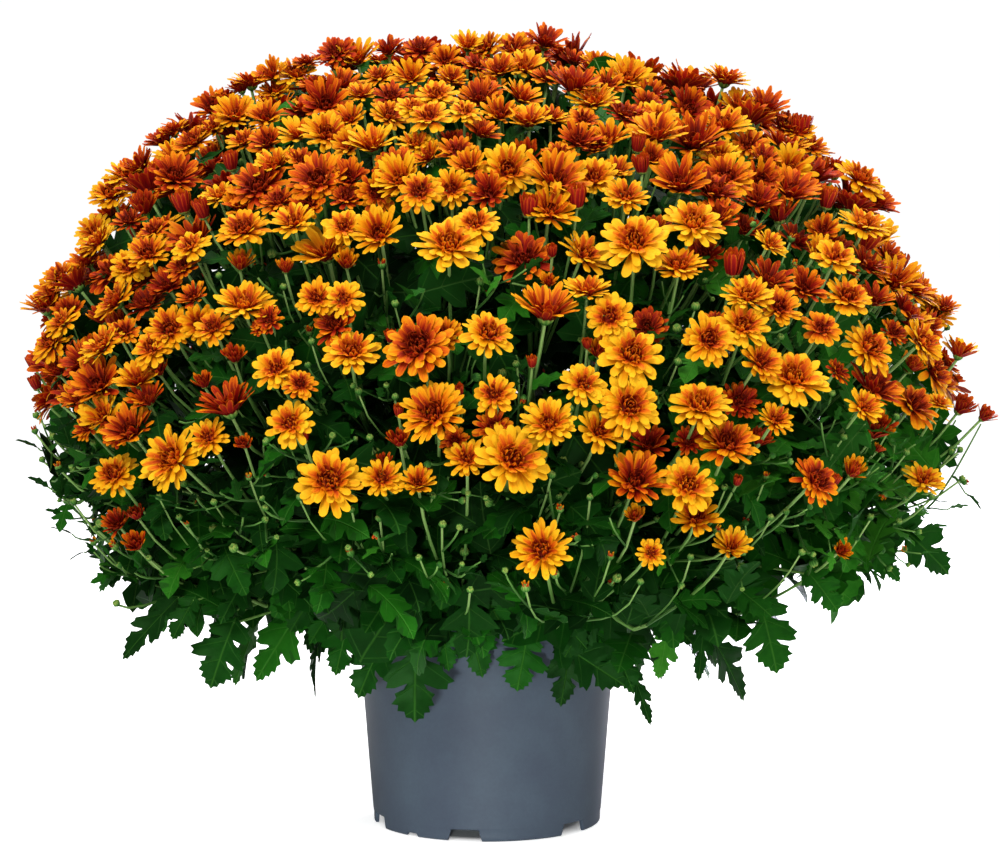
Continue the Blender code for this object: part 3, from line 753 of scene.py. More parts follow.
# ------------------------------------------------------------------ flower heads
def flower(store, place, face, d, form, var, turn, rng, plain=False, spare=False):
    """A head of diameter d. form: open, full, cup, half or shut."""
    B = basis(face, turn)
    k = d / 0.050
    v = lambda count, shift=0: np.clip(var + shift + rng.integers(-1, 2, count), 0, 7)
    any_ = lambda: rng.uniform(0, 6.28)
    R = 0.5 * d
    small = d < 0.034 or plain
    if form in ("open", "full", "cup"):
        lift = {"open": 0.0, "full": 0.20, "cup": 0.46}[form] + rng.uniform(-0.06, 0.06)
        r0 = 0.0048 * k
        if plain:
            c1, c2, c3 = 12, 9, 7
        elif small:
            c1, c2, c3 = 14, 11, 9
        else:
            c1, c2, c3 = int(rng.integers(16, 19)), 14, 11
        slim = 1.0
        if form == "full":
            c1, c2, slim = c1 + 2, c2 + 2, 0.84
        elif form == "cup":
            c3, slim = c3 - 1, 0.88
        n1 = 4 if d < 0.044 or plain or spare else 5
        n2 = 3 if plain else 4
        n3 = 3 if d < 0.046 or plain or spare else 4
        m1, m2, m3 = 0.05 + 1.15 * lift, 0.34 + 1.05 * lift, 0.72 + 0.8 * lift
        L1 = (R - r0) / math.cos(min(m1, 1.0)) * 1.02
        L2 = (R * 0.84 - r0) / math.cos(min(m2, 0.95))
        L3 = (R * 0.60 - r0) / math.cos(min(m3, 1.0))
        wk = 0.0065 * k * (1.14 if small else 1.0) * (1.16 if plain else 1.0) * slim
        petal_row(store, B, place, c1, n1, r0, 0.0030 * k, L1, wk, 0.30 + lift, -0.22 + 1.3 * lift,
                  0.13, v(c1), rng=rng, phase=any_())
        petal_row(store, B, place, c2, n2, r0 * 0.95, 0.0042 * k, L2, wk * 0.95, 0.62 + lift * 0.9,
                  0.06 + 1.2 * lift, 0.15, v(c2), rng=rng, phase=any_())
        petal_row(store, B, place, c3, n3, r0 * 1.05, 0.0050 * k, L3, wk * 0.84, 0.95 + lift * 0.6,
                  0.48 + 0.9 * lift, 0.18, v(c3, -1), top_kind=2, rng=rng, phase=any_())
        # incurved florets of the centre
        e = 1 if small else 0
        e2 = 1 if plain else 0
        rings = ((12 - 3 * e - e2, 3 - e2, 0.0070, 0.0048, 0.0098, 0.0044, 1.02, 1.80, 1),
                 (9 - 3 * e, 3 - e, 0.0046, 0.0056, 0.0088, 0.0038, 1.24, 2.05, 2),
                 (5 - e, 2, 0.0021, 0.0062, 0.0074, 0.0034, 1.38, 1.90, 3))
        if d > 0.0425 and not (plain or spare):
            rings = ((15, 3, 0.0074, 0.0047, 0.0096, 0.0037, 1.00, 1.76, 1),
                     (13, 3, 0.0052, 0.0055, 0.0088, 0.0031, 1.20, 2.02, 2),
                     (9, 2, 0.0028, 0.0060, 0.0076, 0.0026, 1.34, 1.90, 2),
                     (4, 2, 0.0010, 0.0062, 0.0070, 0.0026, 1.45, 1.75, 4))
        for count, st, rr, zz, ll, ww, b0, b1, sh in rings:
            petal_row(store, B, place, count, st, rr * k, zz * k, ll * k, ww * k, b0, b1, 0.16,
                      v(count, sh), top_kind=2, bot_kind=2, rng=rng, phase=any_(), jitter=1.1)
        core = 0.0080
    elif form == "half":
        r0 = 0.0062 * k
        L = d * 0.64
        petal_row(store, B, place, 12, 4, r0, 0.0030 * k, L, 0.0092 * k, 0.96, 0.98, 0.16, v(12),
                  rng=rng, phase=any_(), jitter=0.9)
        petal_row(store, B, place, 10, 4, r0 * 0.8, 0.0040 * k, L * 0.96, 0.0080 * k, 1.18, 1.18,
                  0.16, v(10, 1), rng=rng, phase=any_(), jitter=0.8)
        petal_row(store, B, place, 8, 3, r0 * 0.55, 0.0040 * k, L * 0.86, 0.0064 * k, 1.38, 1.60,
                  0.18, v(8, 2), top_kind=2, rng=rng, phase=any_(), jitter=0.7)
        core = 0.0092
    else:                                   # shut: a red barrel of petals
        r0 = 0.0100 * k
        L = d * 0.86
        petal_row(store, B, place, 13, 4, r0, 0.0020 * k, L, 0.0100 * k, 1.22, 1.60, 0.16, v(13, 1),
                  rng=rng, phase=any_(), jitter=0.6)
        petal_row(store, B, place, 9, 3, r0 * 0.7, 0.0030 * k, L * 0.94, 0.0092 * k, 1.38, 1.62,
                  0.18, v(9, 2), rng=rng, phase=any_(), jitter=0.5)
        core = 0.0110
    # the floor of the head, and the green cup of bracts under it
    c = core * k
    lathe(store, B, place, ((c * 0.72, 0.0024 * k), (c * 0.96, 0.0044 * k), (c * 0.50, 0.0068 * k)),
          7, 2, 7)
    w = r0 + 0.0015 * k
    lathe(store, B, place, ((0.0016 * min(k, 1.1), -0.0024 * k), (w * 0.66, -0.0008 * k),
                            (w * 1.00, 0.0018 * k), (w * 1.12, 0.0050 * k)), 8, 3,
          int(rng.integers(1, 6)), ragged=0.0011 * k, sink=0.0026 * k)
    return place - B[2] * 0.0022 * k


def bud(store, place, face, d, rng, opening=0.0):
    """A small green bud, its bracts parting at the top; some show their first petals."""
    B = basis(face, rng.uniform(0, 6))
    r = 0.5 * d
    prof = ((0.36 * r, -0.06 * r), (0.88 * r, 0.26 * r), (1.00 * r, 0.80 * r),
            (0.82 * r, 1.26 * r), (0.50 * r, 1.48 * r))
    if d < 0.0062:
        prof = prof[:1] + prof[2:]
    lathe(store, B, place, prof, 6 if d < 0.0062 else 7, 3, int(rng.integers(0, 8)),
          ragged=0.22 * r, sink=0.14 * r)
    if rng.random() < opening:
        petal_row(store, B, place, 7, 2, 0.46 * r, 0.90 * r, 1.30 * r, 0.85 * r, 1.15, 1.45,
                  0.25, rng.integers(1, 7, 7), rng=rng, phase=rng.uniform(0, 6), jitter=1.0)
    return place


# ------------------------------------------------------------------ where heads sit
# Seen from the front: pixel x, y, diameter in pixels, then form and colour.
# forms: o open facing the viewer, u open facing up, c cup, h half open, s shut, b green bud
# colours: 0 yellow ... 7 deep bronze
FRONT = """
334 44 40 u7 295 78 45 u2 250 85 42 u4 237 78 30 c6 272 70 36 u4 357 60 42 u1 380 76 36 u3 410 75 38 u2
420 47 38 u6 388 46 34 c6 467 40 32 u1 490 40 38 u3 445 56 34 u4 450 74 30 u4 437 100 46 o1 412 113 40 o1
430 122 50 o2 465 115 36 o1 480 96 44 u6 325 107 50 u6 235 120 44 u2 214 112 40 u6 215 132 36 u3
166 121 34 u4 167 141 40 c7 175 160 38 u1 195 147 44 u4 175 182 50 u6 232 168 26 s6 267 121 36 u4
300 138 42 u1 325 137 50 u2 350 146 34 u3 372 143 52 c0 415 143 38 u1 387 116 40 u3 350 120 34 u4
107 192 46 u2 127 180 44 u1 143 168 40 c6 145 210 34 h6 185 210 30 s6 220 200 38 u0 205 216 28 s7
260 192 58 u6 277 170 44 u1 320 185 60 u5 295 228 50 o1 245 235 56 o3 192 250 44 o1 150 258 46 u3
130 270 40 u1 96 234 38 u1 102 246 44 u1 57 276 36 u4 28 300 46 u4 57 296 40 u3 80 290 42 u6 102 279 50 u7
170 286 40 c7 120 305 50 u3 65 326 42 o2 56 346 52 o3 107 351 54 o1 102 385 58 c6 172 332 50 u3
155 351 48 o2 140 381 46 c2 245 311 60 u1 215 331 44 o3 200 326 40 u3 270 321 30 u6 235 359 26 h6
277 372 50 o1 300 387 36 o4 232 416 64 p6 292 426 52 o0 107 415 48 c1 135 431 56 c5 178 462 72 o0
210 440 44 o1 117 478 52 o1 318 301 44 o2 345 301 42 o1 338 328 48 u6 352 357 60 o1 345 230 46 o1
380 236 52 u2 346 263 28 h3 240 266 30 h3 285 270 22 h4 402 180 50 u1 420 194 48 o3 452 186 42 u2
395 166 44 u6 449 251 70 o0 476 228 50 o1 421 350 76 o5 487 338 56 o1 436 418 70 o3 436 404 44 u1
495 397 46 o2 400 443 28 h6 330 484 72 o1 381 481 46 o1 418 483 38 c2 467 462 46 o1 120 524 32 c7
139 517 22 h7 138 546 28 h6 36 368 22 s7 38 388 20 s7 545 35 40 u6 515 41 40 u4 525 60 44 u1 575 49 30 c7 600 53 32 u4
575 76 56 c6 520 93 40 u3 597 95 50 u1 630 68 46 u1 655 82 30 u6 650 91 34 u6 530 118 44 u2 552 112 40 u3
580 131 42 c6 625 106 44 u6 662 108 42 u1 660 124 58 c3 612 133 40 u3 692 96 46 u6 723 86 52 o2
730 118 56 u2 700 136 56 u6 770 101 46 u6 790 116 40 u6 805 124 38 u3 800 136 32 s6 820 139 32 u4
725 150 46 u1 732 171 56 u4 715 187 62 u6 685 179 56 u5 795 160 46 u1 795 183 58 c6 832 168 42 u6
857 185 58 o2 880 198 42 u6 527 150 36 h7 507 166 56 u1 553 181 64 u4 597 172 46 u1 620 165 34 u3
637 150 24 s7 642 171 26 s7 577 205 32 s7 529 214 30 s7 550 209 54 u2 625 201 48 o2 692 229 66 o0
634 248 74 o0 678 273 56 q2 732 273 34 s5 722 216 48 u6 767 248 40 o0 787 208 40 h6 825 206 30 s5
800 236 44 u7 822 250 40 u2 833 262 50 o1 862 231 56 o0 885 236 42 u1 870 263 50 u6 900 281 50 u3
925 289 44 u2 772 276 48 c6 587 297 50 q1 610 319 52 o1 545 322 68 p4 650 326 44 u7 747 302 54 o1
777 311 48 o3 742 330 56 o1 707 342 56 o2 630 359 68 o0 582 387 48 o0 549 428 58 o0 510 463 78 o0
627 409 66 o1 600 433 50 u0 699 411 68 o0 793 384 72 o0 757 366 50 o3 773 423 40 o2 742 401 42 u7
725 451 66 q4 650 446 40 u7 635 479 60 c5 686 488 62 o0 697 516 50 c2 636 517 24 h3 812 484 56 o5
854 472 30 h3 922 485 46 q0 860 411 44 o1 877 431 40 h6 874 386 58 c6 865 352 62 o2 820 331 42 o4
845 303 56 o2 917 346 54 o2 940 313 42 u2 962 356 42 p1 962 408 32 h7 938 407 30 q1 880 449 14 h3
842 164 32 h6 846 200 34 u7 872 206 30 u5 703 98 34 u7
985 416 24 h7 543 553 62 o1 650 554 32 o1 731 546 38 c1 840 550 24 h4 552 255 18 s6 549 279 20 h5
640 105 34 u5 585 112 34 u5 683 80 32 h7 745 95 36 u3 755 135 40 u4 765 170 40 u5 830 225 34 u5
850 265 34 u5 893 252 34 u5 930 325 36 u6 960 300 30 u5 770 150 34 u6 655 150 36 u4 600 140 30 u6
560 150 36 u5 480 130 36 u5 500 110 38 u4 455 150 40 u5 430 155 34 u3 470 165 38 u4 490 190 40 u6
375 190 40 u5 350 180 40 u6 300 165 36 u5 270 145 36 u5 245 145 36 u3 225 100 32 u4 275 95 36 u3
305 60 32 u5 340 85 36 u5 390 95 36 u6 360 95 34 u3 500 65 36 u5 550 70 36 u5 475 60 32 u6 610 75 34 u5
130 225 36 u6 155 235 34 u5 90 265 36 u5 145 280 36 u7 185 270 36 u5 70 315 34 u6 85 365 40 u6
125 335 36 u5 195 300 34 u5 60 375 34 u6 80 400 40 c5 150 405 40 u6 90 430 34 u5 240 210 36 u5
280 205 40 u5 310 205 40 u5 345 200 36 u6 660 225 36 u6 710 250 40 u7 750 225 36 u7 765 195 40 u6
815 185 36 u6 840 245 36 u7 810 285 40 u6 880 300 40 u6 898 330 30 u6 840 370 30 u6 446 338 42 u4 391 341 18 s6 532 366 16 s6
587 347 15 s6 460 394 16 s6 399 415 17 s6 494 428 40 u6 383 465 22 h7 551 478 13 b2 833 484 16 s6
736 484 15 s6 245 445 20 h6 205 385 24 h6 262 330 24 u6 305 440 16 s7 118 432 34 u6 150 308 44 u7 44 462 11 b4 160 372 26 h5 60 352 24 h6
720 320 30 u6 600 350 30 h5 690 440 30 u7 760 440 28 h7 500 440 30 u6 455 440 30 u5
220 279 12 b3 283 290 12 b3 382 269 13 b3 395 307 13 b3 480 285 14 b2 359 395 13 b4 442 527 13 b3
380 521 13 b2 517 367 12 b1 677 365 13 b3 695 310 14 b2 657 215 12 b5 662 159 14 b4 790 242 12 b3
526 591 14 b2 470 592 12 b4 420 560 10 b3 352 512 12 b2 300 500 11 b4 590 500 11 b3 560 512 12 b2
610 560 11 b5 690 560 11 b2 770 520 11 b4 800 555 12 b3 870 520 12 b2 905 455 12 b3 950 455 12 b2
930 500 12 b4 60 470 12 b3 75 505 12 b2 95 545 12 b3 160 500 11 b2 180 520 11 b4 215 505 12 b3
150 560 10 b4 250 480 11 b3 38 418 12 b3 36 434 11 b4 958 452 11 b3 962 480 11 b2 640 585 11 b3
725 490 12 b4 765 480 11 b3 842 440 12 b2 895 420 12 b3 370 440 12 b3 395 400 12 b2 312 345 12 b3
"""


def parse_front():
    tok = FRONT.split()
    out = []
    for i in range(0, len(tok), 4):
        x, y, d, code = float(tok[i]), float(tok[i + 1]), float(tok[i + 2]), tok[i + 3]
        out.append((x, y, d, code[0], int(code[1])))
    return out


HEADS = []     # dicts: place, face, d, form, var
UP = np.array([0.0, 0.0, 1.0])


def add_head(place, face, d, form, var):
    HEADS.append(dict(p=np.asarray(place), f=unit(face), d=d, form=form, var=var, plain=False,
                      spare=False))


rng_f = np.random.default_rng(5)
for x, y, dpx, form, var in parse_front():
    sunk = {"o": 1.0, "u": 0.985, "c": 0.99, "h": 0.975, "s": 0.985, "b": 0.965,
            "p": 0.99, "q": 0.99}[form]
    if var == 7 and form not in "sb":
        sunk = 0.95
    p = hit_canopy(x, y + 0.10 * dpx * (form in "csh"), sunk)
    d_unit = unit(p - CROWN)
    n = normal_at(d_unit)
    depth = pixel_of(p)[2]
    d = dpx * depth / FOCAL_PX
    to_eye = unit(EYE - p)
    j = rng_f.normal(0, 0.13, 3)
    # heads at the sides turn more towards their own side
    w = max(0.0, min(1.0, (abs(n[0]) - 0.32) / 0.45))
    if form == "o":
        f = unit((0.42 - 0.19 * w) * to_eye + (0.34 + 0.24 * w) * n + 0.42 * UP + j)
        kind = "open" if rng_f.random() < 0.7 else "full"
        d *= 0.99
    elif form == "u":
        f = unit((0.40 - 0.14 * w) * to_eye + (0.42 + 0.12 * w) * n + 0.34 * UP + 1.4 * j)
        kind = "full" if rng_f.random() < 0.6 else "cup"
        d *= 1.09 if y < 300 else 1.04
    elif form == "c":
        f = unit(0.24 * to_eye + 0.44 * n + 0.56 * UP + j)
        kind = "cup"
        d *= 1.04
    elif form == "p":
        f = unit(0.02 * to_eye + 0.30 * n + 0.88 * UP + 0.5 * j)
        kind = "cup"
    elif form == "q":
        f = unit(0.24 * to_eye + 0.22 * n + 0.70 * UP + 0.5 * j)
        kind = "full"
    elif form == "h":
        f = unit(0.20 * to_eye + 0.40 * n + 0.66 * UP + j)
        kind = "half"
        d *= 0.95
    elif form == "s":
        f = unit(0.10 * to_eye + 0.35 * n + 0.80 * UP + 0.6 * j)
        kind = "shut"
        d *= 0.86
    else:
        f = unit(0.10 * to_eye + 0.35 * n + 0.80 * UP + j)
        kind = "bud"
        d *= 0.70
    d = min(max(d, 0.0052), 0.058)
    if form in "uch":
        p = p - d_unit * (0.008 + 0.007 * max(-1.0, min(1.0, d_unit[0] / 0.35))) * max(
            0.0, d_unit[2]) ** 1.5
    add_head(p, f, d, kind, var)
    HEADS[-1]["reach"] = 1.045 if x > 980 else 1.010
FRONT_COUNT = len(HEADS)

# the rest of the plant, spaced evenly over the dome
rng_b = np.random.default_rng(77)
golden = math.pi * (3.0 - math.sqrt(5.0))


def spread(count, limit):
    k = np.arange(count)
    z = 1.0 - (k + 0.5) / count * (1.0 - math.cos(math.radians(limit)))
    a, s = k * golden, np.sqrt(1 - z * z)
    out = np.stack([s * np.cos(a), s * np.sin(a), z], -1)
    rng_b.shuffle(out)
    return out


# the crown's outline as the camera sees it: row, left and right in pixels
EDGE_ROWS = (40, 60, 80, 100, 125, 150, 200, 250, 300, 350, 400, 450, 500, 550, 575, 600, 640)
EDGE_LEFT = (345, 262, 226, 200, 160, 146, 96, 72, 34, 36, 32, 40, 60, 92, 95, 150, 150)
EDGE_RIGHT = (572, 640, 732, 775, 815, 824, 884, 900, 948, 960, 966, 952, 938, 945, 925, 850,
              780)


def inside_outline(q, d):
    px, py, depth = pixel_of(q)
    r = 0.42 * d * FOCAL_PX / depth
    for across, up in ((1.0, 0.0), (0.6, 0.8)):
        row = py - up * r
        if (row < 34.0 or px - across * r < np.interp(row, EDGE_ROWS, EDGE_LEFT)
                or px + across * r > np.interp(row, EDGE_ROWS, EDGE_RIGHT)):
            return False
    return True


pts = [h["p"] for h in HEADS]
rad = [0.5 * h["d"] for h in HEADS]
for layer, N, limit in ((0, 5200, 80.0), (1, 6300, 86.0)):
    for c in spread(N, limit):
        p = surface(c)
        n = normal_at(c)
        theta = math.degrees(math.acos(c[2]))
        lean = float((EYE - p) @ n) / np.linalg.norm(EYE - p)
        seen = lean > 0.06
        edge = -0.10 < lean < 0.42
        if layer == 0 and (seen or p[2] < 0.292):
            continue
        px, py, _ = pixel_of(p)
        if layer == 1 and not edge and (theta > 62.0 or (
                seen and py > 240 and rng_b.random() < (py - 200) / 80.0)):
            continue
        if layer == 1 and p[2] < 0.325:
            continue
        big = 0.0260 if rng_b.random() < 0.70 else 0.0195
        if layer == 0:
            space = 0.0240 + 0.0070 * max(0.0, theta - 35.0) / 40.0
            dist = np.linalg.norm(np.array(pts) - p, axis=1)
            if (dist < (np.array(rad) * 0.42 + space)).any():
                continue
            q = CROWN + (p - CROWN) * (rng_b.uniform(0.965, 1.0) - 0.014 * max(0.0, c[2]) ** 1.5)
        else:
            # sunk heads close the holes between the outer ones
            q = CROWN + (p - CROWN) * (rng_b.uniform(0.945, 0.972) if edge
                                       else rng_b.uniform(0.930, 0.955))
            dist = np.linalg.norm(np.array(pts) - q, axis=1)
            close = (0.64, 0.0170) if edge else (0.72, 0.0185)
            if (dist < (np.array(rad) * close[0] + close[1])).any():
                continue
        u = rng_b.random()
        j = rng_b.normal(0, 0.20, 3)
        f = unit(0.66 * n + 0.42 * UP + j)
        # colour variant: the sunk heads of the second layer lean to the deeper bronze variants, painted shade for
        # heads set deep among the others
        var = int(np.clip(round(rng_b.normal(2.4 + (theta < 40) * 1.4 + 2.2 * layer, 2.0)), 0, 7))
        if u < 0.42:
            form, d = "open", 2.0 * big * rng_b.uniform(0.92, 1.10)
        elif u < 0.66:
            form, d = "full", 2.0 * big * rng_b.uniform(0.92, 1.10)
        elif u < 0.82:
            form, d = "cup", 2.0 * big * rng_b.uniform(0.80, 0.98)
            f = unit(0.50 * n + 0.60 * UP + j)
        elif u < 0.92:
            form, d = "half", rng_b.uniform(0.018, 0.026)
            f = unit(0.5 * n + 0.6 * UP + j)
            q = q - c * 0.012 * max(0.0, c[2]) ** 2
        else:
            form, d = "shut", rng_b.uniform(0.014, 0.020)
            f = unit(0.4 * n + 0.8 * UP + 0.5 * j)
            q = q - c * 0.012 * max(0.0, c[2]) ** 2
        if layer == 1:
            d = min(d, 0.042)
        if not inside_outline(q, d):
            continue
        add_head(q, f, d, form, var)
        HEADS[-1]["plain"] = layer == 1
        HEADS[-1]["spare"] = layer == 0
        pts.append(q)
        rad.append(0.5 * d)

# keep every head inside the canopy's outline
for h in HEADS:
    rho = h["p"] - CROWN
    d_u = unit(rho)
    lim = reach(d_u) * h.get("reach", 1.010)
    if np.linalg.norm(rho) > lim:
        h["p"] = CROWN + d_u * lim
    h["spray"] = int(np.argmax(SPRAYS @ unit(h["p"] - CROWN)))
for h in HEADS[:FRONT_COUNT]:
    if pixel_of(h["p"])[1] > 500:
        LOW_HEADS.append((h["p"] + 0.004 * unit(h["f"]), 0.004 + 0.30 * h["d"]))

# ------------------------------------------------------------------ build the plant
heads = [Store() for _ in SPRAYS]
stems = [Store() for _ in SPRAYS]
foliage = [Store() for _ in SPRAYS]
rng = np.random.default_rng(314)
ANCHORS = []

# widest the leaves may reach, by height, and the flower layer above
EDGE_Z = np.array([0.085, 0.100, 0.120, 0.146, 0.165, 0.190, 0.215, 0.240, 0.275, 0.320])
EDGE_R = np.array([0.150, 0.205, 0.238, 0.268, 0.284, 0.300, 0.316, 0.328, 0.340, 0.345])


def leaf_length_ok(at, along, length):
    """How far the blade's tip would reach past the edge, which is how far its base has to move in."""
    tip = at + along * length
    r = math.hypot(tip[0], tip[1])
    if tip[2] < 0.34:
        over = r - float(np.interp(tip[2], EDGE_Z, EDGE_R)) * (1.0 + LEAN * tip[0] / max(r, 1e-6))
    else:
        rel = tip - CROWN
        over = np.linalg.norm(rel) - reach(unit(rel)) * 0.985
    return max(0.0, over)


def near_edge(p):
    """Whether a point stands close to the crown's left or right edge, below the flowers."""
    px, py, _ = pixel_of(p)
    return 385.0 < py < 548.0 and not (np.interp(py, EDGE_ROWS, EDGE_LEFT) + 26.0 < px
                                       < np.interp(py, EDGE_ROWS, EDGE_RIGHT) - 26.0)


def add_leaf(store, at, out, length, var=None, form="mid", droop=None, width=None,
             stalk_store=None, inside=True):
    """A leaf whose stalk starts at `at` and leads outward along `out`."""
    out = unit(out)
    if near_edge(at + out * length):
        length *= 0.58
        form = "low" if form == "mid" else form
    if inside:
        over = leaf_length_ok(at, out, length * 1.12)
        if over > 0.5 * length:
            return False
        if over > 0.0:
            at = at - unit(np.array([at[0], at[1], 0.0])) * over
    side = rng.normal(0, 1, 3)
    face = unit(UP * 0.9 + 0.35 * unit(at - CROWN) - out * 0.0 + 0.28 * side)
    stalk = 0.18 * length
    tip = at + out * stalk
    if stalk_store is not None:
        tube(stalk_store, np.array([at, at + out * stalk * 0.5 + UP * 0.001, tip + out * 0.003]),
             [0.0010, 0.0008, 0.0007], 4, 0, 1)
    leaf(store, tip, out, face, length, width or length * rng.uniform(0.62, 0.78),
         int(rng.integers(1, 6)) if var is None else var, form=form,
         droop=rng.uniform(0.3, 1.1) if droop is None else droop,
         fold=rng.uniform(0.12, 0.45), wave=0.035, rng=rng)
    return True


for s, D in enumerate(SPRAYS):
    mine = [h for h in HEADS if h["spray"] == s]
    R = reach(D)
    theta = math.acos(D[2])
    start_dir = unit(D * 0.75 + UP * 0.35) if theta > 0.3 else D
    root = CROWN + start_dir * 0.0235
    node0 = CROWN + D * (0.50 * R) + UP * 0.010
    line = bezier(root, root + start_dir * 0.25 * R, node0 - D * 0.18 * R, node0, 9)
    tube(stems[s], line, np.linspace(0.0036, 0.0026, 9), 6, 0, 5)
    for k in (3, 4, 5, 6, 7):
        side = unit(np.cross(D, rng.normal(0, 1, 3)))
        add_leaf(foliage[s], line[k], side * 0.8 + D * 0.6, rng.uniform(0.050, 0.068),
                 var=int(rng.integers(0, 3)), stalk_store=stems[s], form="screen")
    if not mine:
        continue
    dirs = np.array([unit(h["p"] - CROWN) for h in mine])
    groups = max(1, round(len(mine) / 4.4))
    centres = dirs[np.linspace(0, len(dirs) - 1, groups).astype(int)].copy()
    for _ in range(8):
        label = np.argmax(dirs @ centres.T, axis=1)
        for g in range(groups):
            if (label == g).any():
                centres[g] = unit(dirs[label == g].mean(0))
    for g in range(groups):
        members = [mine[i] for i in range(len(mine)) if label[i] == g]
        if not members:
            continue
        C = centres[g]
        Rc = min(np.linalg.norm(h["p"] - CROWN) for h in members)
        back = 0.080 + 0.02 * rng.random()
        fork = CROWN + C * (Rc - back) - UP * (
            0.016 + 0.026 * max(0.0, min(1.0, (0.55 - C[2]) / 0.40)))
        origin = line[int(rng.integers(6, 9))]
        path = bezier(origin, origin + D * 0.30 * np.linalg.norm(fork - origin),
                      fork - unit(C + 0.5 * UP) * 0.035, fork, 7)
        tube(stems[s], path, np.linspace(0.0021, 0.0015, 7), 5, 0, 3)
        for k in (3, 5, 6):
            side = unit(np.cross(C, rng.normal(0, 1, 3)))
            add_leaf(foliage[s], path[k], side * 0.75 + C * 0.55 + 0.15 * UP,
                     rng.uniform(0.044, 0.062), var=int(rng.integers(0, 4)), form="screen")
        ANCHORS.extend(path[3:])
        for h in members:
            if h["form"] == "bud":
                under = bud(heads[s], h["p"], h["f"], h["d"], rng, opening=0.35)
            else:
                under = flower(heads[s], h["p"], h["f"], h["d"], h["form"], h["var"],
                               rng.uniform(0, 6.28), rng, plain=h["plain"],
                               spare=h["spare"])
            F = h["f"]
            gap = np.linalg.norm(under - fork)
            low = fork + (under - fork) * 0.30 - UP * 0.004
            lead = unit(under - fork)
            pl = bezier(fork, low, under - unit(0.55 * F + 0.25 * UP + 0.45 * lead) * 0.36 * gap,
                        under, 7)
            ANCHORS.extend(pl[1:6])
            rr = 0.00070 if h["form"] == "bud" else 0.00088 + 0.00034 * min(1.0, h["d"] / 0.045)
            tube(stems[s], pl, np.linspace(rr * 1.10, rr, 7),
                 4 if h["form"] == "bud" or h["plain"] or h["spare"] else 5, 0,
                 int(rng.integers(0, 3)))
            for k, chance in ((3, 0.50), (5, 0.36)):
                if rng.random() < chance:
                    side = unit(np.cross(F, rng.normal(0, 1, 3)))
                    add_leaf(foliage[s], pl[k], side * 0.8 + C * 0.35 + 0.1 * UP,
                             rng.uniform(0.026, 0.044), var=int(rng.integers(2, 7)), form="low")
            if rng.random() < 0.20:
                side = unit(np.cross(C, rng.normal(0, 1, 3)))
                tipp = pl[3] + side * rng.uniform(0.014, 0.026) + C * rng.uniform(0.020, 0.038)
                face = unit(C * 0.6 + UP * 0.6 + side * 0.3)
                db = rng.uniform(0.0048, 0.0070)
                bud(heads[s], tipp, face, db, rng, opening=0.25)
                bl = bezier(pl[2], pl[2] + (tipp - pl[2]) * 0.4 + side * 0.004,
                            tipp - face * 0.010, tipp, 5)
                tube(stems[s], bl, np.linspace(0.0009, 0.0008, 5), 4, 0, int(rng.integers(0, 3)))

# inner foliage between the stems, deep down, then just under the flowers; the deeper shells take the darkest colour
# variants, painted shade for the shadowed inside of the crown
SCREENS = ((230, 100.0, 0.56, 0.78, 0.165, 1.0), (430, 84.0, 0.845, 0.910, 0.262, 1.0),
           (430, 92.0, 0.780, 0.880, 0.185, 0.300), (560, 95.0, 0.880, 0.960, 0.190, 0.330))
for shell, (count, limit, near, far, z_low, z_high) in enumerate(SCREENS):
    for c in spread(count, limit):
        s = int(np.argmax(SPRAYS @ c))
        at = CROWN + c * reach(c) * rng.uniform(near, far)
        if not z_low <= at[2] <= z_high:
            continue
        side = unit(np.cross(c, rng.normal(0, 1, 3)))
        if shell == 0:
            out = unit(side + 0.25 * c + 0.1 * UP)
            face = unit(c + 0.4 * UP + 0.3 * rng.normal(0, 1, 3))
            size = rng.uniform(0.056, 0.074)
        elif shell < 3:
            out = unit(side + rng.uniform(-0.25, 0.40) * c + 0.1 * UP)
            face = unit(c * rng.uniform(0.1, 1.0) + 0.7 * unit(rng.normal(0, 1, 3)))
            size = rng.uniform(0.044, 0.060)
        else:
            # the outer ones lie flatter, one edge to the viewer
            out = unit(side * 0.8 + c * rng.uniform(0.1, 0.8) + UP * rng.uniform(-0.4, 0.1))
            face = unit(UP + 0.30 * c + 0.38 * unit(rng.normal(0, 1, 3)))
            size = rng.uniform(0.032, 0.050)
            size *= 0.62 if near_edge(at) else 1.0
            if leaf_length_ok(at - out * 0.48 * size, out, size * 1.1) > 0.004:
                continue
            leaf(foliage[s], at - out * 0.48 * size, out, face, size, size * rng.uniform(0.6, 0.76),
                 int(rng.integers(1, 6)), form="low", droop=rng.uniform(0.3, 1.0), fold=0.25,
                 wave=0.035, rng=rng)
            continue
        # painted shade: the deepest shell takes only the two darkest variants, the next ones the three darkest
        leaf(foliage[s], at - out * 0.48 * size, out, face, size, size * 0.72,
             int(rng.integers(0, 2 if shell == 0 else 3)),
             form="deep" if shell == 0 else "screen", droop=0.6, fold=0.15, wave=0.03, rng=rng)

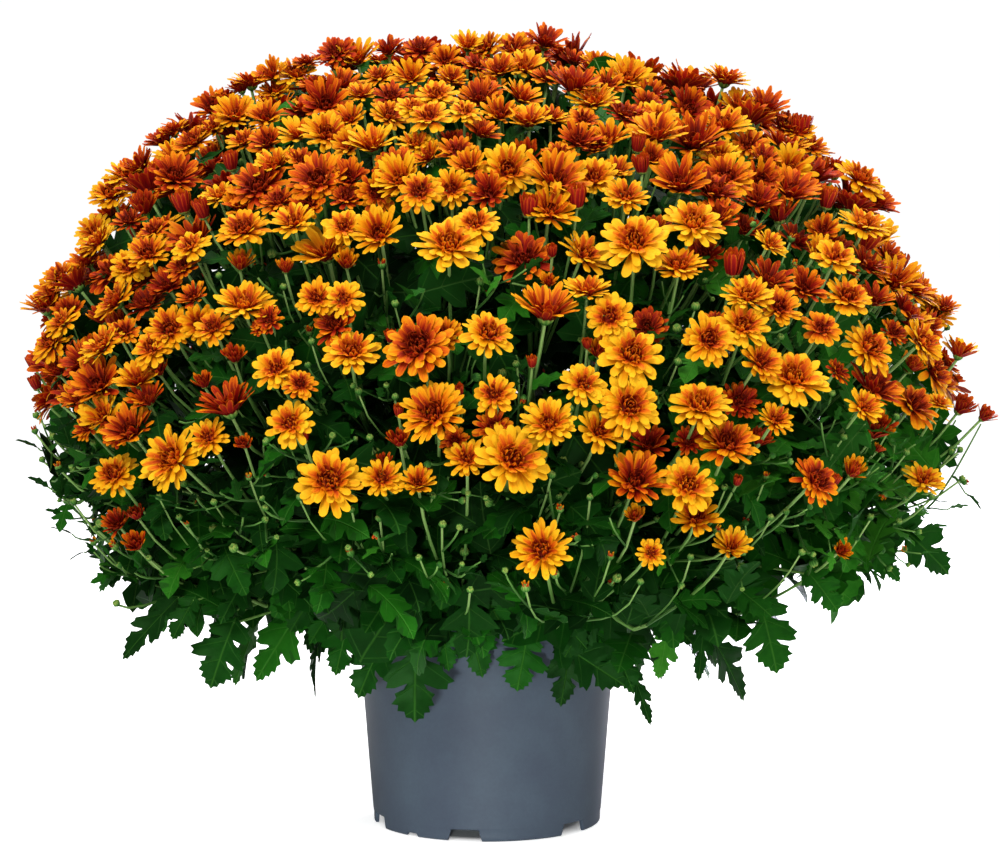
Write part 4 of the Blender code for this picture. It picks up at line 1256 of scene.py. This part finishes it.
# ------------------------------------------------------------------ lower foliage
SKIRT = 9
skirt = [Store() for _ in range(SKIRT)]
skirt_stems = [Store() for _ in range(SKIRT)]
rng = np.random.default_rng(2718)
BAND = np.array([(0.125, 0.163), (0.160, 0.170), (0.205, 0.182), (0.240, 0.198),
                 (0.270, 0.216), (0.295, 0.240), (0.312, 0.268)])
for k in range(SKIRT):
    mid = math.radians(10.0 + k * 40.0)
    for b in range(8):
        az = mid + math.radians(-18.0 + 5.0 * b + rng.uniform(-2.0, 2.0))
        e = np.array([math.cos(az), math.sin(az), 0.0])
        last = BAND[int(rng.integers(3, len(BAND)))]
        end = e * last[0] * rng.uniform(0.93, 1.0) + UP * (last[1] + rng.uniform(0.0, 0.03))
        root = CROWN + unit(e + 0.35 * UP) * 0.0235
        path = bezier(root, root + unit(e + 0.55 * UP) * 0.075, end - unit(e + 0.25 * UP) * 0.10,
                      end, 11)
        tube(skirt_stems[k], path, np.linspace(0.0026, 0.0011, 11), 4, 0, int(rng.integers(1, 5)))
        ANCHORS.extend(path[5:10])
        for j in (5, 6, 7, 8, 9, 10):
            for side in (-1, 1):
                if rng.random() < 0.15:
                    continue
                tng = np.array([-e[1], e[0], 0.0]) * side
                out = unit(e * rng.uniform(0.2, 0.9) + tng * rng.uniform(0.3, 1.0)
                           + UP * rng.uniform(-0.7, 0.25))
                tip = pixel_of(path[j] + out * 0.05)
                thin = (0.58 if e[1] < 0.2 and tip[1] < 548 and not 96 < tip[0] < 905 else 1.0)
                add_leaf(skirt[k], path[j], out, rng.uniform(0.036, 0.060) * thin,
                         var=int(rng.integers(0, 5)),
                         form="mid" if j >= (6 if e[1] < -0.3 else 8) else "low",
                         droop=rng.uniform(0.5, 1.5))
        if rng.random() < 0.6:
            face = unit(e * 0.5 + UP)
            if inside_outline(end, 0.012):
                bud(heads[int(np.argmax(SPRAYS @ unit(end - CROWN)))], end - face * 0.001, face,
                    rng.uniform(0.0048, 0.0070), rng, opening=0.3)
    # leaves that hang over the rim
    for b in range(5):
        az = mid + math.radians(-16.0 + 8.0 * b + rng.uniform(-2.5, 2.5))
        e = np.array([math.cos(az), math.sin(az), 0.0])
        if e[1] < -0.45:
            continue                       # the front ones are placed one by one below
        r = rng.uniform(0.098, 0.185)
        at = e * r + UP * rng.uniform(0.158, 0.176)
        tng = np.array([-e[1], e[0], 0.0])
        out = unit(e * rng.uniform(0.25, 0.7) + tng * rng.uniform(-0.5, 0.5) - UP)
        L = rng.uniform(0.050, 0.074)
        face = unit(e + 0.3 * UP + 0.2 * tng * rng.normal())
        leaf(skirt[k], at, out, face, L, L * rng.uniform(0.55, 0.72), int(rng.integers(1, 7)),
             form="big", droop=rng.uniform(0.1, 0.5), fold=0.2, wave=0.03, rng=rng)
        inner = CROWN + unit(e + 0.1 * UP) * 0.0240
        tube(skirt_stems[k], bezier(inner, inner + e * 0.03 + UP * 0.02,
                                    at - out * 0.02 + UP * 0.012, at + out * 0.004, 7),
             np.linspace(0.0018, 0.0010, 7), 5, 0, 3)

# ------------------------------------------------------------------ big leaves over the pot
# base pixel, tip pixel, distance in front of the pot's axis, width as a share, shade (colour variant, set darker as
# painted shade for the leaves that hang in the canopy's shadow over the pot)
POT_LEAVES = (
    (416, 628, 414, 718, 0.128, 0.78, 1), (425, 585, 372, 640, 0.140, 0.66, 1),
    (390, 625, 358, 694, 0.112, 0.62, 2), (466, 612, 482, 674, 0.112, 0.66, 2),
    (440, 612, 448, 668, 0.120, 0.60, 3), (528, 632, 518, 688, 0.108, 0.90, 3),
    (572, 634, 562, 703, 0.110, 0.58, 0), (556, 642, 622, 682, 0.122, 0.70, 1),
    (606, 628, 634, 690, 0.115, 0.55, 2), (630, 664, 651, 722, 0.118, 0.30, 1),
    (668, 626, 660, 676, 0.130, 0.60, 7), (704, 606, 701, 678, 0.150, 0.32, 2),
    (758, 596, 779, 669, 0.185, 0.80, 4), (600, 600, 566, 655, 0.120, 0.66, 1),
    (352, 610, 335, 672, 0.125, 0.66, 3), (306, 602, 256, 676, 0.165, 0.56, 5),
    (290, 596, 276, 650, 0.160, 0.50, 3), (236, 618, 209, 684, 0.195, 0.82, 2),
    (196, 596, 172, 636, 0.205, 0.66, 2), (182, 594, 122, 654, 0.170, 0.42, 1),
    (806, 570, 838, 608, 0.200, 0.80, 4), (892, 519, 949, 569, 0.070, 0.86, 3),
    (500, 590, 470, 648, 0.125, 0.66, 2), (540, 598, 585, 645, 0.130, 0.66, 1),
    (640, 590, 692, 640, 0.140, 0.66, 2), (330, 570, 290, 628, 0.165, 0.66, 2),
    (380, 560, 330, 600, 0.165, 0.66, 2), (470, 560, 430, 610, 0.160, 0.66, 2),
    (560, 560, 610, 600, 0.165, 0.66, 1), (720, 575, 770, 612, 0.190, 0.66, 4),
    (250, 570, 220, 620, 0.205, 0.66, 2), (866, 545, 900, 578, 0.140, 0.60, 4),
    (156, 556, 102, 580, 0.120, 0.46, 2), (420, 590, 395, 640, 0.135, 0.70, 3),
    (345, 590, 310, 640, 0.150, 0.64, 3), (590, 615, 600, 668, 0.115, 0.74, 2),
)


def at_depth(px, py, front):
    r = ray_of(px, py)
    t = (-front - EYE[1]) / r[1]
    return EYE + r * t


for bx, by, tx, ty, front, share, shade in POT_LEAVES:
    a = at_depth(bx, by, front)
    b = at_depth(tx, ty, front + 0.012)
    length = np.linalg.norm(b - a) * 1.06
    along = unit(b - a)
    face = unit(np.array([a[0] * 1.4, -0.8, 0.30]))
    az = math.degrees(math.atan2(a[1], a[0]))
    k = int(round((az - 10.0) / 40.0)) % SKIRT
    # painted shade: the darker listed variants stand in for the shadow over the pot
    leaf(skirt[k], a, along, face, length, length * share, shade, form="big",
         droop=0.25, fold=0.22, wave=0.030, rng=rng)
    inner = CROWN + unit(np.array([a[0], a[1], 0.02])) * 0.0240
    hub = np.array([a[0] * 0.72, a[1] * 0.72, max(a[2] + 0.012, 0.168)])
    tube(skirt_stems[k], bezier(inner, inner + UP * 0.012, hub, a + along * 0.004, 8),
         np.linspace(0.0017, 0.0009, 8), 5, 0, 5)

# ------------------------------------------------------------------ thin side stems
def twig(root, tip, g, count):
    """A thin stem from `root` that forks near its end, with a small bud or a leaflet at its tip and on each branch.
    """
    s = int(np.argmax(SPRAYS @ unit(tip - CROWN)))
    lead = tip - root
    far = np.linalg.norm(lead)
    path = bezier(root, root + lead * 0.36 - UP * 0.10 * far,
                  tip - unit(lead + 0.9 * far * UP) * 0.30 * far, tip, 6)
    # painted shade: the twigs take the darker stem variants, for thin stems inside the canopy's shadow
    var = int(g.integers(3, 8))
    tube(stems[s], path, np.linspace(0.00100, 0.00068, 6), 4, 0, var)
    end = unit(path[-1] - path[-2] + 0.15 * g.normal(0, 1, 3))

    def leaflet(at, out, size):
        leaf(foliage[s], at, out, unit(UP + 0.4 * g.normal(0, 1, 3)), size, size * 0.52,
             int(g.integers(2, 8)), form="deep", droop=0.5, fold=0.25, wave=0.03, rng=g)
    if g.random() < 0.62:
        bud(heads[s], path[-1] - end * 0.0004, end, g.uniform(0.0044, 0.0068), g, opening=0.4)
    else:
        leaflet(path[-1] - end * 0.0005, end, g.uniform(0.012, 0.018))
    for b in range(count):
        k = (3, 4, 2)[b]
        side = unit(np.cross(lead, g.normal(0, 1, 3)))
        at = path[k] + side * g.uniform(0.007, 0.015) + unit(lead + 0.3 * far * UP) * g.uniform(
            0.009, 0.020)
        turn = unit(at - path[k] + 0.006 * UP)
        tube(stems[s], np.array([path[k], 0.5 * (path[k] + at) + side * 0.0016, at]),
             (0.00072, 0.00062, 0.00056), 3, 0, var)
        if g.random() < 0.50:
            bud(heads[s], at - turn * 0.0004, turn, g.uniform(0.0036, 0.0056), g, opening=0.15)
        else:
            leaflet(at - turn * 0.0005, turn, g.uniform(0.009, 0.016))
    for k in (2, 3, 1)[:int(g.integers(0, 3))]:
        side = unit(np.cross(lead, g.normal(0, 1, 3)))
        leaflet(path[k], unit(side + 0.7 * unit(lead)), g.uniform(0.014, 0.026))


# stems seen against the light at the left and right edge: distance in front of the axis, then
# pixels from root to tip, what the tip carries, and its side branches (start, pixel, load)
WIRES = (
    (0.030, ((905, 522), (930, 508), (950, 480), (966, 452), (981, 424)), "",
     ((1, 950, 508, "leaf"), (2, 962, 482, "bud"), (2, 967, 494, "leaf"))),
    (0.045, ((892, 505), (912, 478), (926, 447), (936, 424)), "",
     ((1, 930, 470, "bud"), (2, 916, 440, "bud"))),
    (0.010, ((908, 500), (930, 470), (944, 440), (956, 420)), "",
     ((1, 944, 462, "leaf"), (2, 952, 446, "bud"))),
    (0.030, ((885, 540), (906, 532), (924, 528)), "leaf", ((1, 916, 520, "leaf"),)),
    (0.020, ((78, 482), (58, 456), (44, 430), (38, 404)), "",
     ((1, 38, 448, "leaf"), (2, 56, 420, "leaf"))),
    (0.020, ((92, 522), (76, 512), (62, 496), (48, 487)), "leaf", ()),
    (0.000, ((112, 556), (96, 540), (84, 520), (70, 502)), "",
     ((1, 84, 552, "leaf"), (1, 72, 534, "leaf"), (2, 66, 516, "leaf"))),
)


def add_wires():
    g = np.random.default_rng(808)
    base = np.array(ANCHORS)
    for front, track, load, sides in WIRES:
        pts = [at_depth(x, y, front) for x, y in track]
        near = base[np.argmin(np.linalg.norm(base - pts[0], axis=1))]
        line = np.array([near] + pts)
        for _ in range(2):
            a, b = line[:-1], line[1:]
            cut = np.stack([0.75 * a + 0.25 * b, 0.25 * a + 0.75 * b], 1).reshape(-1, 3)
            line = np.concatenate([line[:1], cut[1:-1], line[-1:]])
        s = int(np.argmax(SPRAYS @ unit(pts[-1] - CROWN)))
        tube(stems[s], line, np.linspace(0.00105, 0.00062, len(line)), 5, 0, 6)

        def carry(at, way, what):
            if what == "bud":
                bud(heads[s], at - way * 0.0004, way, g.uniform(0.0050, 0.0066), g, opening=0.35)
            elif what == "leaf":
                size = g.uniform(0.013, 0.020)
                leaf(foliage[s], at - way * 0.0005, way, unit(UP + 0.4 * g.normal(0, 1, 3)), size,
                     size * 0.50, int(g.integers(1, 4)), form="deep", droop=0.4, fold=0.25,
                     wave=0.03, rng=g)
        carry(line[-1], unit(line[-1] - line[-2]), load)
        for i, x, y, what in sides:
            tip = at_depth(x, y, front + g.uniform(-0.010, 0.010))
            at = line[np.argmin(np.linalg.norm(line - pts[i], axis=1))]
            tube(stems[s], bezier(at, at + (line[-1] - line[0]) * 0.04, tip - UP * 0.004, tip, 5),
                 np.linspace(0.00066, 0.00054, 5), 4, 0, 6)
            carry(tip, unit(tip - at + 0.004 * UP), what)


def add_twigs():
    g = np.random.default_rng(4242)
    stem_points = KDTree(len(ANCHORS))
    for i, a in enumerate(ANCHORS):
        stem_points.insert(Vector(a), i)
    stem_points.balance()
    centre = np.array([h["p"] for h in HEADS])
    width = np.array([h["d"] for h in HEADS])
    seen_at = np.array([pixel_of(c) for c in centre])
    ends, made = [], [0, 0]
    for c in spread(5200, 97.0):
        tip = CROWN + c * reach(c) * g.uniform(0.93, 0.985)
        n = normal_at(c)
        front = float((EYE - tip) @ n) > 0.0
        px, py, depth = pixel_of(tip)
        if front and (py < 205 or py > 575 or made[0] >= 88 or near_edge(tip)
                      or (py > 490 and g.random() < 0.5)):
            continue
        if not front and (made[1] >= 60 or c[2] > 0.80):
            continue
        r = math.hypot(tip[0], tip[1])
        if tip[2] < 0.205 or r > np.interp(tip[2], EDGE_Z, EDGE_R) * 1.01:
            continue
        if not inside_outline(tip, 0.006):
            continue
        if (np.linalg.norm(centre - tip, axis=1) < 0.5 * width + 0.004).any():
            continue
        if front:
            off = np.hypot(seen_at[:, 0] - px, seen_at[:, 1] - py)
            near = (off < 0.5 * width * FOCAL_PX / seen_at[:, 2] * 0.92 + 3.0)
            if (near & (seen_at[:, 2] < depth + 0.02)).any():
                continue
        if ends and (np.linalg.norm(np.array(ends) - tip, axis=1)
                     < (0.021 if front else 0.036)).any():
            continue
        for co, _, gap in stem_points.find_n(Vector(tip), 24):
            root = np.array(co)
            if 0.022 < gap < 0.075 and (np.linalg.norm(root - CROWN)
                                        < np.linalg.norm(tip - CROWN) - 0.012):
                twig(root, tip, g, int(g.integers(0, 3)) if front else 1)
                ends.append(tip)
                made[0 if front else 1] += 1
                break
    return made


add_wires()
print("TWIGS", add_twigs())

# ------------------------------------------------------------------ see-through gaps
def close_gaps(limit=225):
    """Adds leaves, on stalks from the nearest stem, where a line of sight runs right
    through the crown without meeting anything; the same from all round."""
    vs, qs, ts, n = [], [], [], 0
    for st in heads + stems + foliage + skirt + skirt_stems:
        if not st.v:
            continue
        if st.q:
            qs.append(np.concatenate(st.q) + n)
        if st.t:
            ts.append(np.concatenate(st.t) + n)
        v = np.concatenate(st.v)
        vs.append(v)
        n += len(v)
    tree = BVHTree.FromPolygons(np.concatenate(vs).tolist(),
                                np.concatenate(qs).tolist() + np.concatenate(ts).tolist())
    stem_points = KDTree(len(ANCHORS))
    for i, a in enumerate(ANCHORS):
        stem_points.insert(Vector(a), i)
    stem_points.balance()
    eyes = [EYE]
    for k in range(12):
        a = math.radians(30.0 * k + 10.0)
        lift = 0.50 if k % 2 == 0 else 1.25
        eyes.append(np.array([2.3 * math.cos(a), 2.3 * math.sin(a), lift]))
    mid = np.array([0.0, 0.0, 0.40])
    found = []
    for e, eye in enumerate(eyes):
        look = unit(mid - eye)
        right = unit(np.cross(look, UP))
        up = np.cross(right, look)
        step = 0.0021 if e == 0 else 0.0068
        for u in np.arange(-0.34, 0.34, step):
            for w in np.arange(-0.15, 0.19, step):
                d = unit(mid + right * u + up * w - eye)
                if tree.ray_cast(Vector(eye), Vector(d), 4.0)[0] is not None:
                    continue
                t = 2.0 + np.linspace(0.0, 0.8, 33)
                p = eye + d * t[:, None] - CROWN
                rho = np.linalg.norm(p, axis=1)
                f = rho / np.array([reach(x / y) for x, y in zip(p, rho)])
                ok = (f < 0.955) & (p[:, 2] + CROWN[2] > 0.235)
                if ok.sum() < 2:
                    continue
                best, where, root = 9.0, None, None
                for x in p[ok & (f > 0.78)]:
                    co, _, gap = stem_points.find(Vector(x + CROWN))
                    if gap < best:
                        best, where, root = gap, x + CROWN, np.array(co)
                if where is not None and not (e == 0 and near_edge(where)):
                    found.append((where, d, root))
    g = np.random.default_rng(99)
    g.shuffle(order := np.arange(len(found)))
    W = np.array([found[i][0] for i in order]) if found else np.zeros((0, 3))
    L = np.array([found[i][1] for i in order]) if found else np.zeros((0, 3))
    root = [found[i][2] for i in order]
    alive = np.ones(len(W), bool)
    made = 0
    for i in range(len(W)):
        if not alive[i] or made >= limit:
            continue
        c, d = W[i], L[i]
        size = g.uniform(0.042, 0.054)
        away = c - root[i]
        face = unit(-d + 0.35 * unit(g.normal(0, 1, 3)) + 0.25 * UP)
        out = away - face * (away @ face)
        out = unit(out + 0.006 * g.normal(0, 1, 3) + 0.002 * UP)
        s = int(np.argmax(SPRAYS @ unit(c - CROWN)))
        base = c - out * 0.46 * size
        rel = base - CROWN
        tip = c + out * 0.54 * size - CROWN
        if np.linalg.norm(tip) > reach(unit(tip)) * (0.975 - 0.05 * max(0.0, unit(tip)[2]) ** 2):
            out = -out
            base = c - out * 0.46 * size
        across = np.cross(out, face) * 0.37 * size
        edges = np.array([base, base + out * size, c + across, c - across]) - CROWN
        if max(np.linalg.norm(x) / reach(unit(x)) for x in edges) > 1.0:
            # near the outline a smaller leaf, a little deeper, so that none sticks out
            size *= 0.60
            c = c - unit(c - CROWN) * 0.008
            base = c - out * 0.46 * size
        leaf(foliage[s], base, out, face, size, size * 0.74, int(g.integers(0, 4)),
             form="screen", droop=0.35, fold=0.15, wave=0.03, rng=g)
        tube(stems[s], np.array([root[i], 0.5 * (root[i] + base) - UP * 0.002,
                                 base + out * 0.002]), [0.0008, 0.0007, 0.0006], 4, 0, 2)
        made += 1
        off = W - c
        off = off - L * (off * L).sum(1)[:, None]
        alive &= np.linalg.norm(off, axis=1) > 0.013
        alive[i] = False
    return len(found), made


print("GAPS", close_gaps())

# ------------------------------------------------------------------ pot
POT_R0, POT_TAPER, POT_H, WALL = 0.0840, 0.0800, 0.1570, 0.0016
FOOT_T, FLOOR_H, PAD = 0.0028, 0.0090, 0.0300


def wall_r(z):
    return POT_R0 + POT_TAPER * z


def foot_edge(a):
    """Height of the foot's lower edge at an azimuth from the front, in degrees."""
    z = 0.0
    for k in range(6):
        off = abs((a - (-11.0 + 60.0 * k) + 180.0) % 360.0 - 180.0) * math.pi / 180.0 * POT_R0
        z = max(z, 0.0080 * min(1.0, max(0.0, (0.0126 - off) / 0.0024)))
    off = abs((a + 40.5 + 180.0) % 360.0 - 180.0) * math.pi / 180.0 * POT_R0
    return max(z, 0.0022 * min(1.0, max(0.0, (0.0054 - off) / 0.0012)))


def build_pot():
    fine = sorted(set([round(x, 3) for x in np.arange(-180.0, 180.0, 3.0)]
                      + [round((-11.0 + 60.0 * k + d + 180.0) % 360.0 - 180.0, 3)
                         for k in range(6)
                         for d in (-8.7, -8.35, -7.8, -7.25, -6.9, -6.4,
                                   6.4, 6.9, 7.25, 7.8, 8.35, 8.7)]
                      + [-44.3, -43.7, -43.2, -42.7, -38.3, -37.8, -37.3, -36.7]))
    A = np.radians(np.array(fine))
    n = len(A)
    e = np.stack([np.sin(A), -np.cos(A)], -1)
    zb = np.array([foot_edge(a) for a in fine])
    top = POT_H
    band = top - 0.0120
    rings = []          # each: radius array, height array

    def ring(r, z):
        rings.append((np.broadcast_to(np.asarray(r, float), (n,)),
                      np.broadcast_to(np.asarray(z, float), (n,))))
    ring(POT_R0 - FOOT_T, FLOOR_H)
    for f in (0.7, 0.4, 0.15):
        ring(POT_R0 - FOOT_T, zb + (FLOOR_H - zb) * f)
    ring(POT_R0 - FOOT_T, zb + 0.0005)
    ring(POT_R0 - FOOT_T + 0.0005, zb)
    ring(POT_R0 - 0.0009, zb)
    ring(POT_R0 - 0.0003, zb + 0.0003)
    ring(wall_r(0.0009), zb + 0.0009)
    for f in (0.35, 0.7):
        ring(wall_r(0.002), zb + 0.0009 + (FLOOR_H - 0.0009 - zb) * f)
    ring(wall_r(FLOOR_H), FLOOR_H)
    ring(wall_r(0.0100), 0.0100)
    for z in (0.020, 0.035, 0.055, 0.075, 0.095, 0.115, 0.130, 0.1405):
        ring(wall_r(z), z)
    ring(wall_r(band - 0.0016), band - 0.0016)
    ring(wall_r(band) + 0.0008, band - 0.0006)
    ring(wall_r(band) + 0.0022, band + 0.0004)
    ring(wall_r(band) + 0.0026, band + 0.0014)
    ring(wall_r(top - 0.004) + 0.0026, top - 0.004)
    ring(wall_r(top) + 0.0026, top - 0.0010)
    ring(wall_r(top) + 0.0022, top - 0.0003)
    ring(wall_r(top) + 0.0016, top)
    ring(wall_r(top) - 0.0002, top)
    ring(wall_r(top) - 0.0010, top - 0.0003)
    ring(wall_r(top) - WALL, top - 0.0012)
    ring(wall_r(band) - WALL, band)
    for z in (0.120, 0.080, 0.040):
        ring(wall_r(z) - WALL, z)
    ring(wall_r(FLOOR_H + WALL + 0.003) - WALL, FLOOR_H + WALL + 0.0030)
    ring(wall_r(FLOOR_H + WALL + 0.001) - WALL - 0.0010, FLOOR_H + WALL + 0.0010)
    ring(wall_r(FLOOR_H) - WALL - 0.0030, FLOOR_H + WALL)
    bm = bmesh.new()
    vs = [[bm.verts.new((e[i, 0] * r[i], e[i, 1] * r[i], z[i])) for i in range(n)]
          for r, z in rings]
    for j in range(len(vs) - 1):
        for i in range(n):
            i2 = (i + 1) % n
            bm.faces.new((vs[j][i], vs[j][i2], vs[j + 1][i2], vs[j + 1][i]))
    # the floor: two sheets with six holes, joined at the pad and round each hole
    from mathutils.geometry import delaunay_2d_cdt
    holes = []
    for k in range(6):
        a = math.radians(-11.0 + 30.0 + 60.0 * k)
        cx, cy = 0.0560 * math.sin(a), -0.0560 * math.cos(a)
        holes.append([(cx + 0.0045 * math.cos(t), cy + 0.0045 * math.sin(t))
                      for t in np.arange(16) * math.tau / 16])
    pad = [(PAD * math.sin(t), -PAD * math.cos(t)) for t in np.arange(48) * math.tau / 48]

    def sheet(outer_ring, z, flip):
        outer = [(v.co.x, v.co.y) for v in outer_ring]
        loops = [outer] + holes + [pad]
        coords, spans = [], []
        for L in loops:
            spans.append((len(coords), len(L)))
            coords += [Vector(p) for p in L]
        edges = [(s0 + i, s0 + (i + 1) % c) for s0, c in spans for i in range(c)]
        verts, _, faces, orig, _, _ = delaunay_2d_cdt(coords, edges, [], 0, 1e-7)
        back = {}
        for i, o in enumerate(orig):
            if o:
                back[i] = o[0]
        made = {}

        def vert(i):
            if i not in made:
                o = back.get(i)
                if o is not None and o < len(outer_ring):
                    made[i] = outer_ring[o]
                else:
                    made[i] = bm.verts.new((verts[i].x, verts[i].y, z))
            return made[i]
        for f in faces:
            c = sum((verts[i] for i in f), Vector((0.0, 0.0))) / len(f)
            if c.length < PAD * 0.998:
                continue
            if any((c - Vector((sum(x for x, _ in h) / 16, sum(y for _, y in h) / 16))).length
                   < 0.0043 for h in holes):
                continue
            idx = f if not flip else f[::-1]
            bm.faces.new([vert(i) for i in idx])
        inv = {o: i for i, o in back.items()}
        rims = []
        for s0, c in spans[1:]:
            rims.append([vert(inv[s0 + i]) for i in range(c)])
        return rims
    low = sheet(vs[0], FLOOR_H, True)
    high = sheet(vs[-1], FLOOR_H + WALL, False)
    for a, b in zip(low[:-1], high[:-1]):
        for i in range(16):
            i2 = (i + 1) % 16
            bm.faces.new((a[i2], a[i], b[i], b[i2]))
    # the pad: a shallow cup that also stands on the surface
    def circle(r, z):
        return [bm.verts.new((r * math.sin(t), -r * math.cos(t), z))
                for t in np.arange(48) * math.tau / 48]
    foot = [low[-1], circle(PAD - 0.0014, 0.0010), circle(PAD - 0.0020, 0.0002),
            circle(PAD - 0.0026, 0.0), circle(0.012, 0.0)]
    cup = [high[-1], circle(PAD - 0.0020, FLOOR_H * 0.5), circle(PAD - 0.0040, FLOOR_H * 0.25),
           circle(0.012, FLOOR_H * 0.25)]
    for rows, flip in ((foot, False), (cup, True)):
        for a, b in zip(rows[:-1], rows[1:]):
            for i in range(48):
                i2 = (i + 1) % 48
                f = (a[i], a[i2], b[i2], b[i])
                bm.faces.new(f[::-1] if not flip else f)
        c = bm.verts.new((0.0, 0.0, rows[-1][0].co.z))
        for i in range(48):
            i2 = (i + 1) % 48
            f = (rows[-1][i], rows[-1][i2], c)
            bm.faces.new(f[::-1] if not flip else f)
    bmesh.ops.recalc_face_normals(bm, faces=bm.faces)
    me = bpy.data.meshes.new("pot_moulded")
    bm.to_mesh(me)
    bm.free()
    me.materials.append(M_POT)
    me.shade_smooth()
    me.set_sharp_from_angle(angle=math.radians(38.0))
    ob = bpy.data.objects.new("pot_moulded", me)
    bpy.context.scene.collection.objects.link(ob)
    return ob


pot = build_pot()
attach(pot, "root"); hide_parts("pot")

# ------------------------------------------------------------------ pieces
total = 0
tally = {"heads": 0, "stems": 0, "leaves": 0}
for s in range(len(SPRAYS)):
    tag = f"{s + 1:02d}"
    if heads[s].v:
        ob = heads[s].build(f"spray_{tag}_heads", M_PETAL)
        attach(ob, "root"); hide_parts(f"flower_spray_{tag}")
        tally["heads"] += heads[s].triangles()
    ob = stems[s].build(f"spray_{tag}_stems", M_STEM, sharp=80.0)
    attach(ob, "root"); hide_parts(f"flowering_stem_{tag}")
    tally["stems"] += stems[s].triangles()
    ob = foliage[s].build(f"spray_{tag}_leaves", M_LEAF)
    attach(ob, "root")
    tally["leaves"] += foliage[s].triangles()
for k in range(SKIRT):
    tag = f"{k + 1:02d}"
    ob = skirt[k].build(f"skirt_{tag}_leaves", M_LEAF)
    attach(ob, "root"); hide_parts(f"skirt_leaf_{tag}")
    ob = skirt_stems[k].build(f"skirt_{tag}_stems", M_STEM, sharp=80.0)
    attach(ob, "root")
    tally["leaves"] += skirt[k].triangles()
    tally["stems"] += skirt_stems[k].triangles()
total = sum(tally.values())

# ------------------------------------------------------------------ soil and crown
for name, mat in (("potting_soil", M_SOIL), ("crown", M_BARK)):
    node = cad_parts[name]
    node.data.materials.clear()
    node.data.materials.append(mat)

# ------------------------------------------------------------------ stage and light
def stage_floor():
    bm = bmesh.new()
    bmesh.ops.create_grid(bm, x_segments=1, y_segments=1, size=12.0)
    me = bpy.data.meshes.new("floor")
    bm.to_mesh(me)
    bm.free()
    ob = bpy.data.objects.new("floor", me)
    ob.location = (0.0, 0.0, -0.0005)
    m = Nodes("floor")
    m.base((0.90, 0.90, 0.90, 1.0), 0.9, 0.1)
    m.bsdf.inputs["Emission Color"].default_value = (1.0, 1.0, 1.0, 1.0)
    m.bsdf.inputs["Emission Strength"].default_value = 0.0
    lp = m.new("ShaderNodeLightPath")
    glow = m.new("ShaderNodeEmission")
    mix = m.new("ShaderNodeAddShader")
    out = m.tree.nodes["Material Output"]
    # painted shadow: the floor's own glow fades out under the pot, so the floor there stays dark
    place = m.new("ShaderNodeTexCoord").outputs["Object"]
    flat = m.new("ShaderNodeVectorMath", operation="LENGTH")
    m.link(place, flat.inputs[0])
    clear = m.math("MULTIPLY", m.math("SUBTRACT", flat.outputs["Value"], 0.066), 55.0, clamp=True)
    m.link(m.math("MULTIPLY", m.math("MULTIPLY", lp.outputs["Is Camera Ray"], 0.72), clear),
           glow.inputs[1])
    m.link(m.bsdf.outputs[0], mix.inputs[0])
    m.link(glow.outputs[0], mix.inputs[1])
    m.link(mix.outputs[0], out.inputs[0])
    me.materials.append(m.mat)
    bpy.context.scene.collection.objects.link(ob)


stage_floor()
world = bpy.data.worlds.new("studio")
world.use_nodes = True
wt = world.node_tree
bg = wt.nodes["Background"]
bg.inputs[0].default_value = (1.0, 1.0, 1.0, 1.0)
path = wt.nodes.new("ShaderNodeLightPath")
mixer = wt.nodes.new("ShaderNodeMath")
mixer.operation = "MULTIPLY_ADD"
wt.links.new(path.outputs["Is Camera Ray"], mixer.inputs[0])
mixer.inputs[1].default_value = 0.66
mixer.inputs[2].default_value = 0.36
wt.links.new(mixer.outputs[0], bg.inputs[1])
bpy.context.scene.world = world


def area(name, at, target, size, power, colour=(1.0, 1.0, 1.0)):
    data = bpy.data.lights.new(name, "AREA")
    data.shape = "RECTANGLE"
    data.size, data.size_y = size
    data.energy = power
    data.color = colour
    ob = bpy.data.objects.new(name, data)
    ob.location = at
    ob.rotation_euler = (Vector(target) - Vector(at)).to_track_quat("-Z", "Y").to_euler()
    bpy.context.scene.collection.objects.link(ob)


area("key", (-0.9, -2.2, 1.9), (0.0, 0.0, 0.33), (0.9, 0.9), 47.0)
area("fill", (1.7, -1.9, 1.0), (0.0, 0.0, 0.30), (1.2, 1.2), 8.5)
area("side", (1.55, -1.20, 1.90), (0.22, -0.08, 0.28), (0.6, 0.6), 11.0)
area("top", (0.1, 0.2, 2.4), (0.0, 0.0, 0.35), (1.4, 1.4), 35.0)
area("back", (0.8, 2.1, 1.5), (0.0, 0.0, 0.30), (1.2, 1.2), 22.0)
area("rim", (1.10, 2.00, 0.35), (0.0, 0.0, 0.09), (0.25, 0.9), 34.0, (0.84, 0.82, 1.0))


def spot(name, at, target, angle, power, colour):
    data = bpy.data.lights.new(name, "SPOT")
    data.energy = power
    data.color = colour
    data.spot_size = math.radians(angle)
    data.spot_blend = 1.0
    data.shadow_soft_size = 0.16
    ob = bpy.data.objects.new(name, data)
    ob.location = at
    ob.rotation_euler = (Vector(target) - Vector(at)).to_track_quat("-Z", "Y").to_euler()
    bpy.context.scene.collection.objects.link(ob)


spot("low", (-0.20, -2.15, 0.16), (-0.014, -0.085, 0.040), 6.7, 640.0, (0.90, 0.98, 1.0))
spot("leaves", (1.00, -2.05, 0.42), (0.265, -0.12, 0.225), 11.0, 34.0, (1.0, 1.0, 0.98))

scene = bpy.context.scene
scene.view_settings.view_transform = "Standard"
scene.view_settings.look = "None"

print("HEADS", len(HEADS), "front", FRONT_COUNT, "triangles", total, tally)
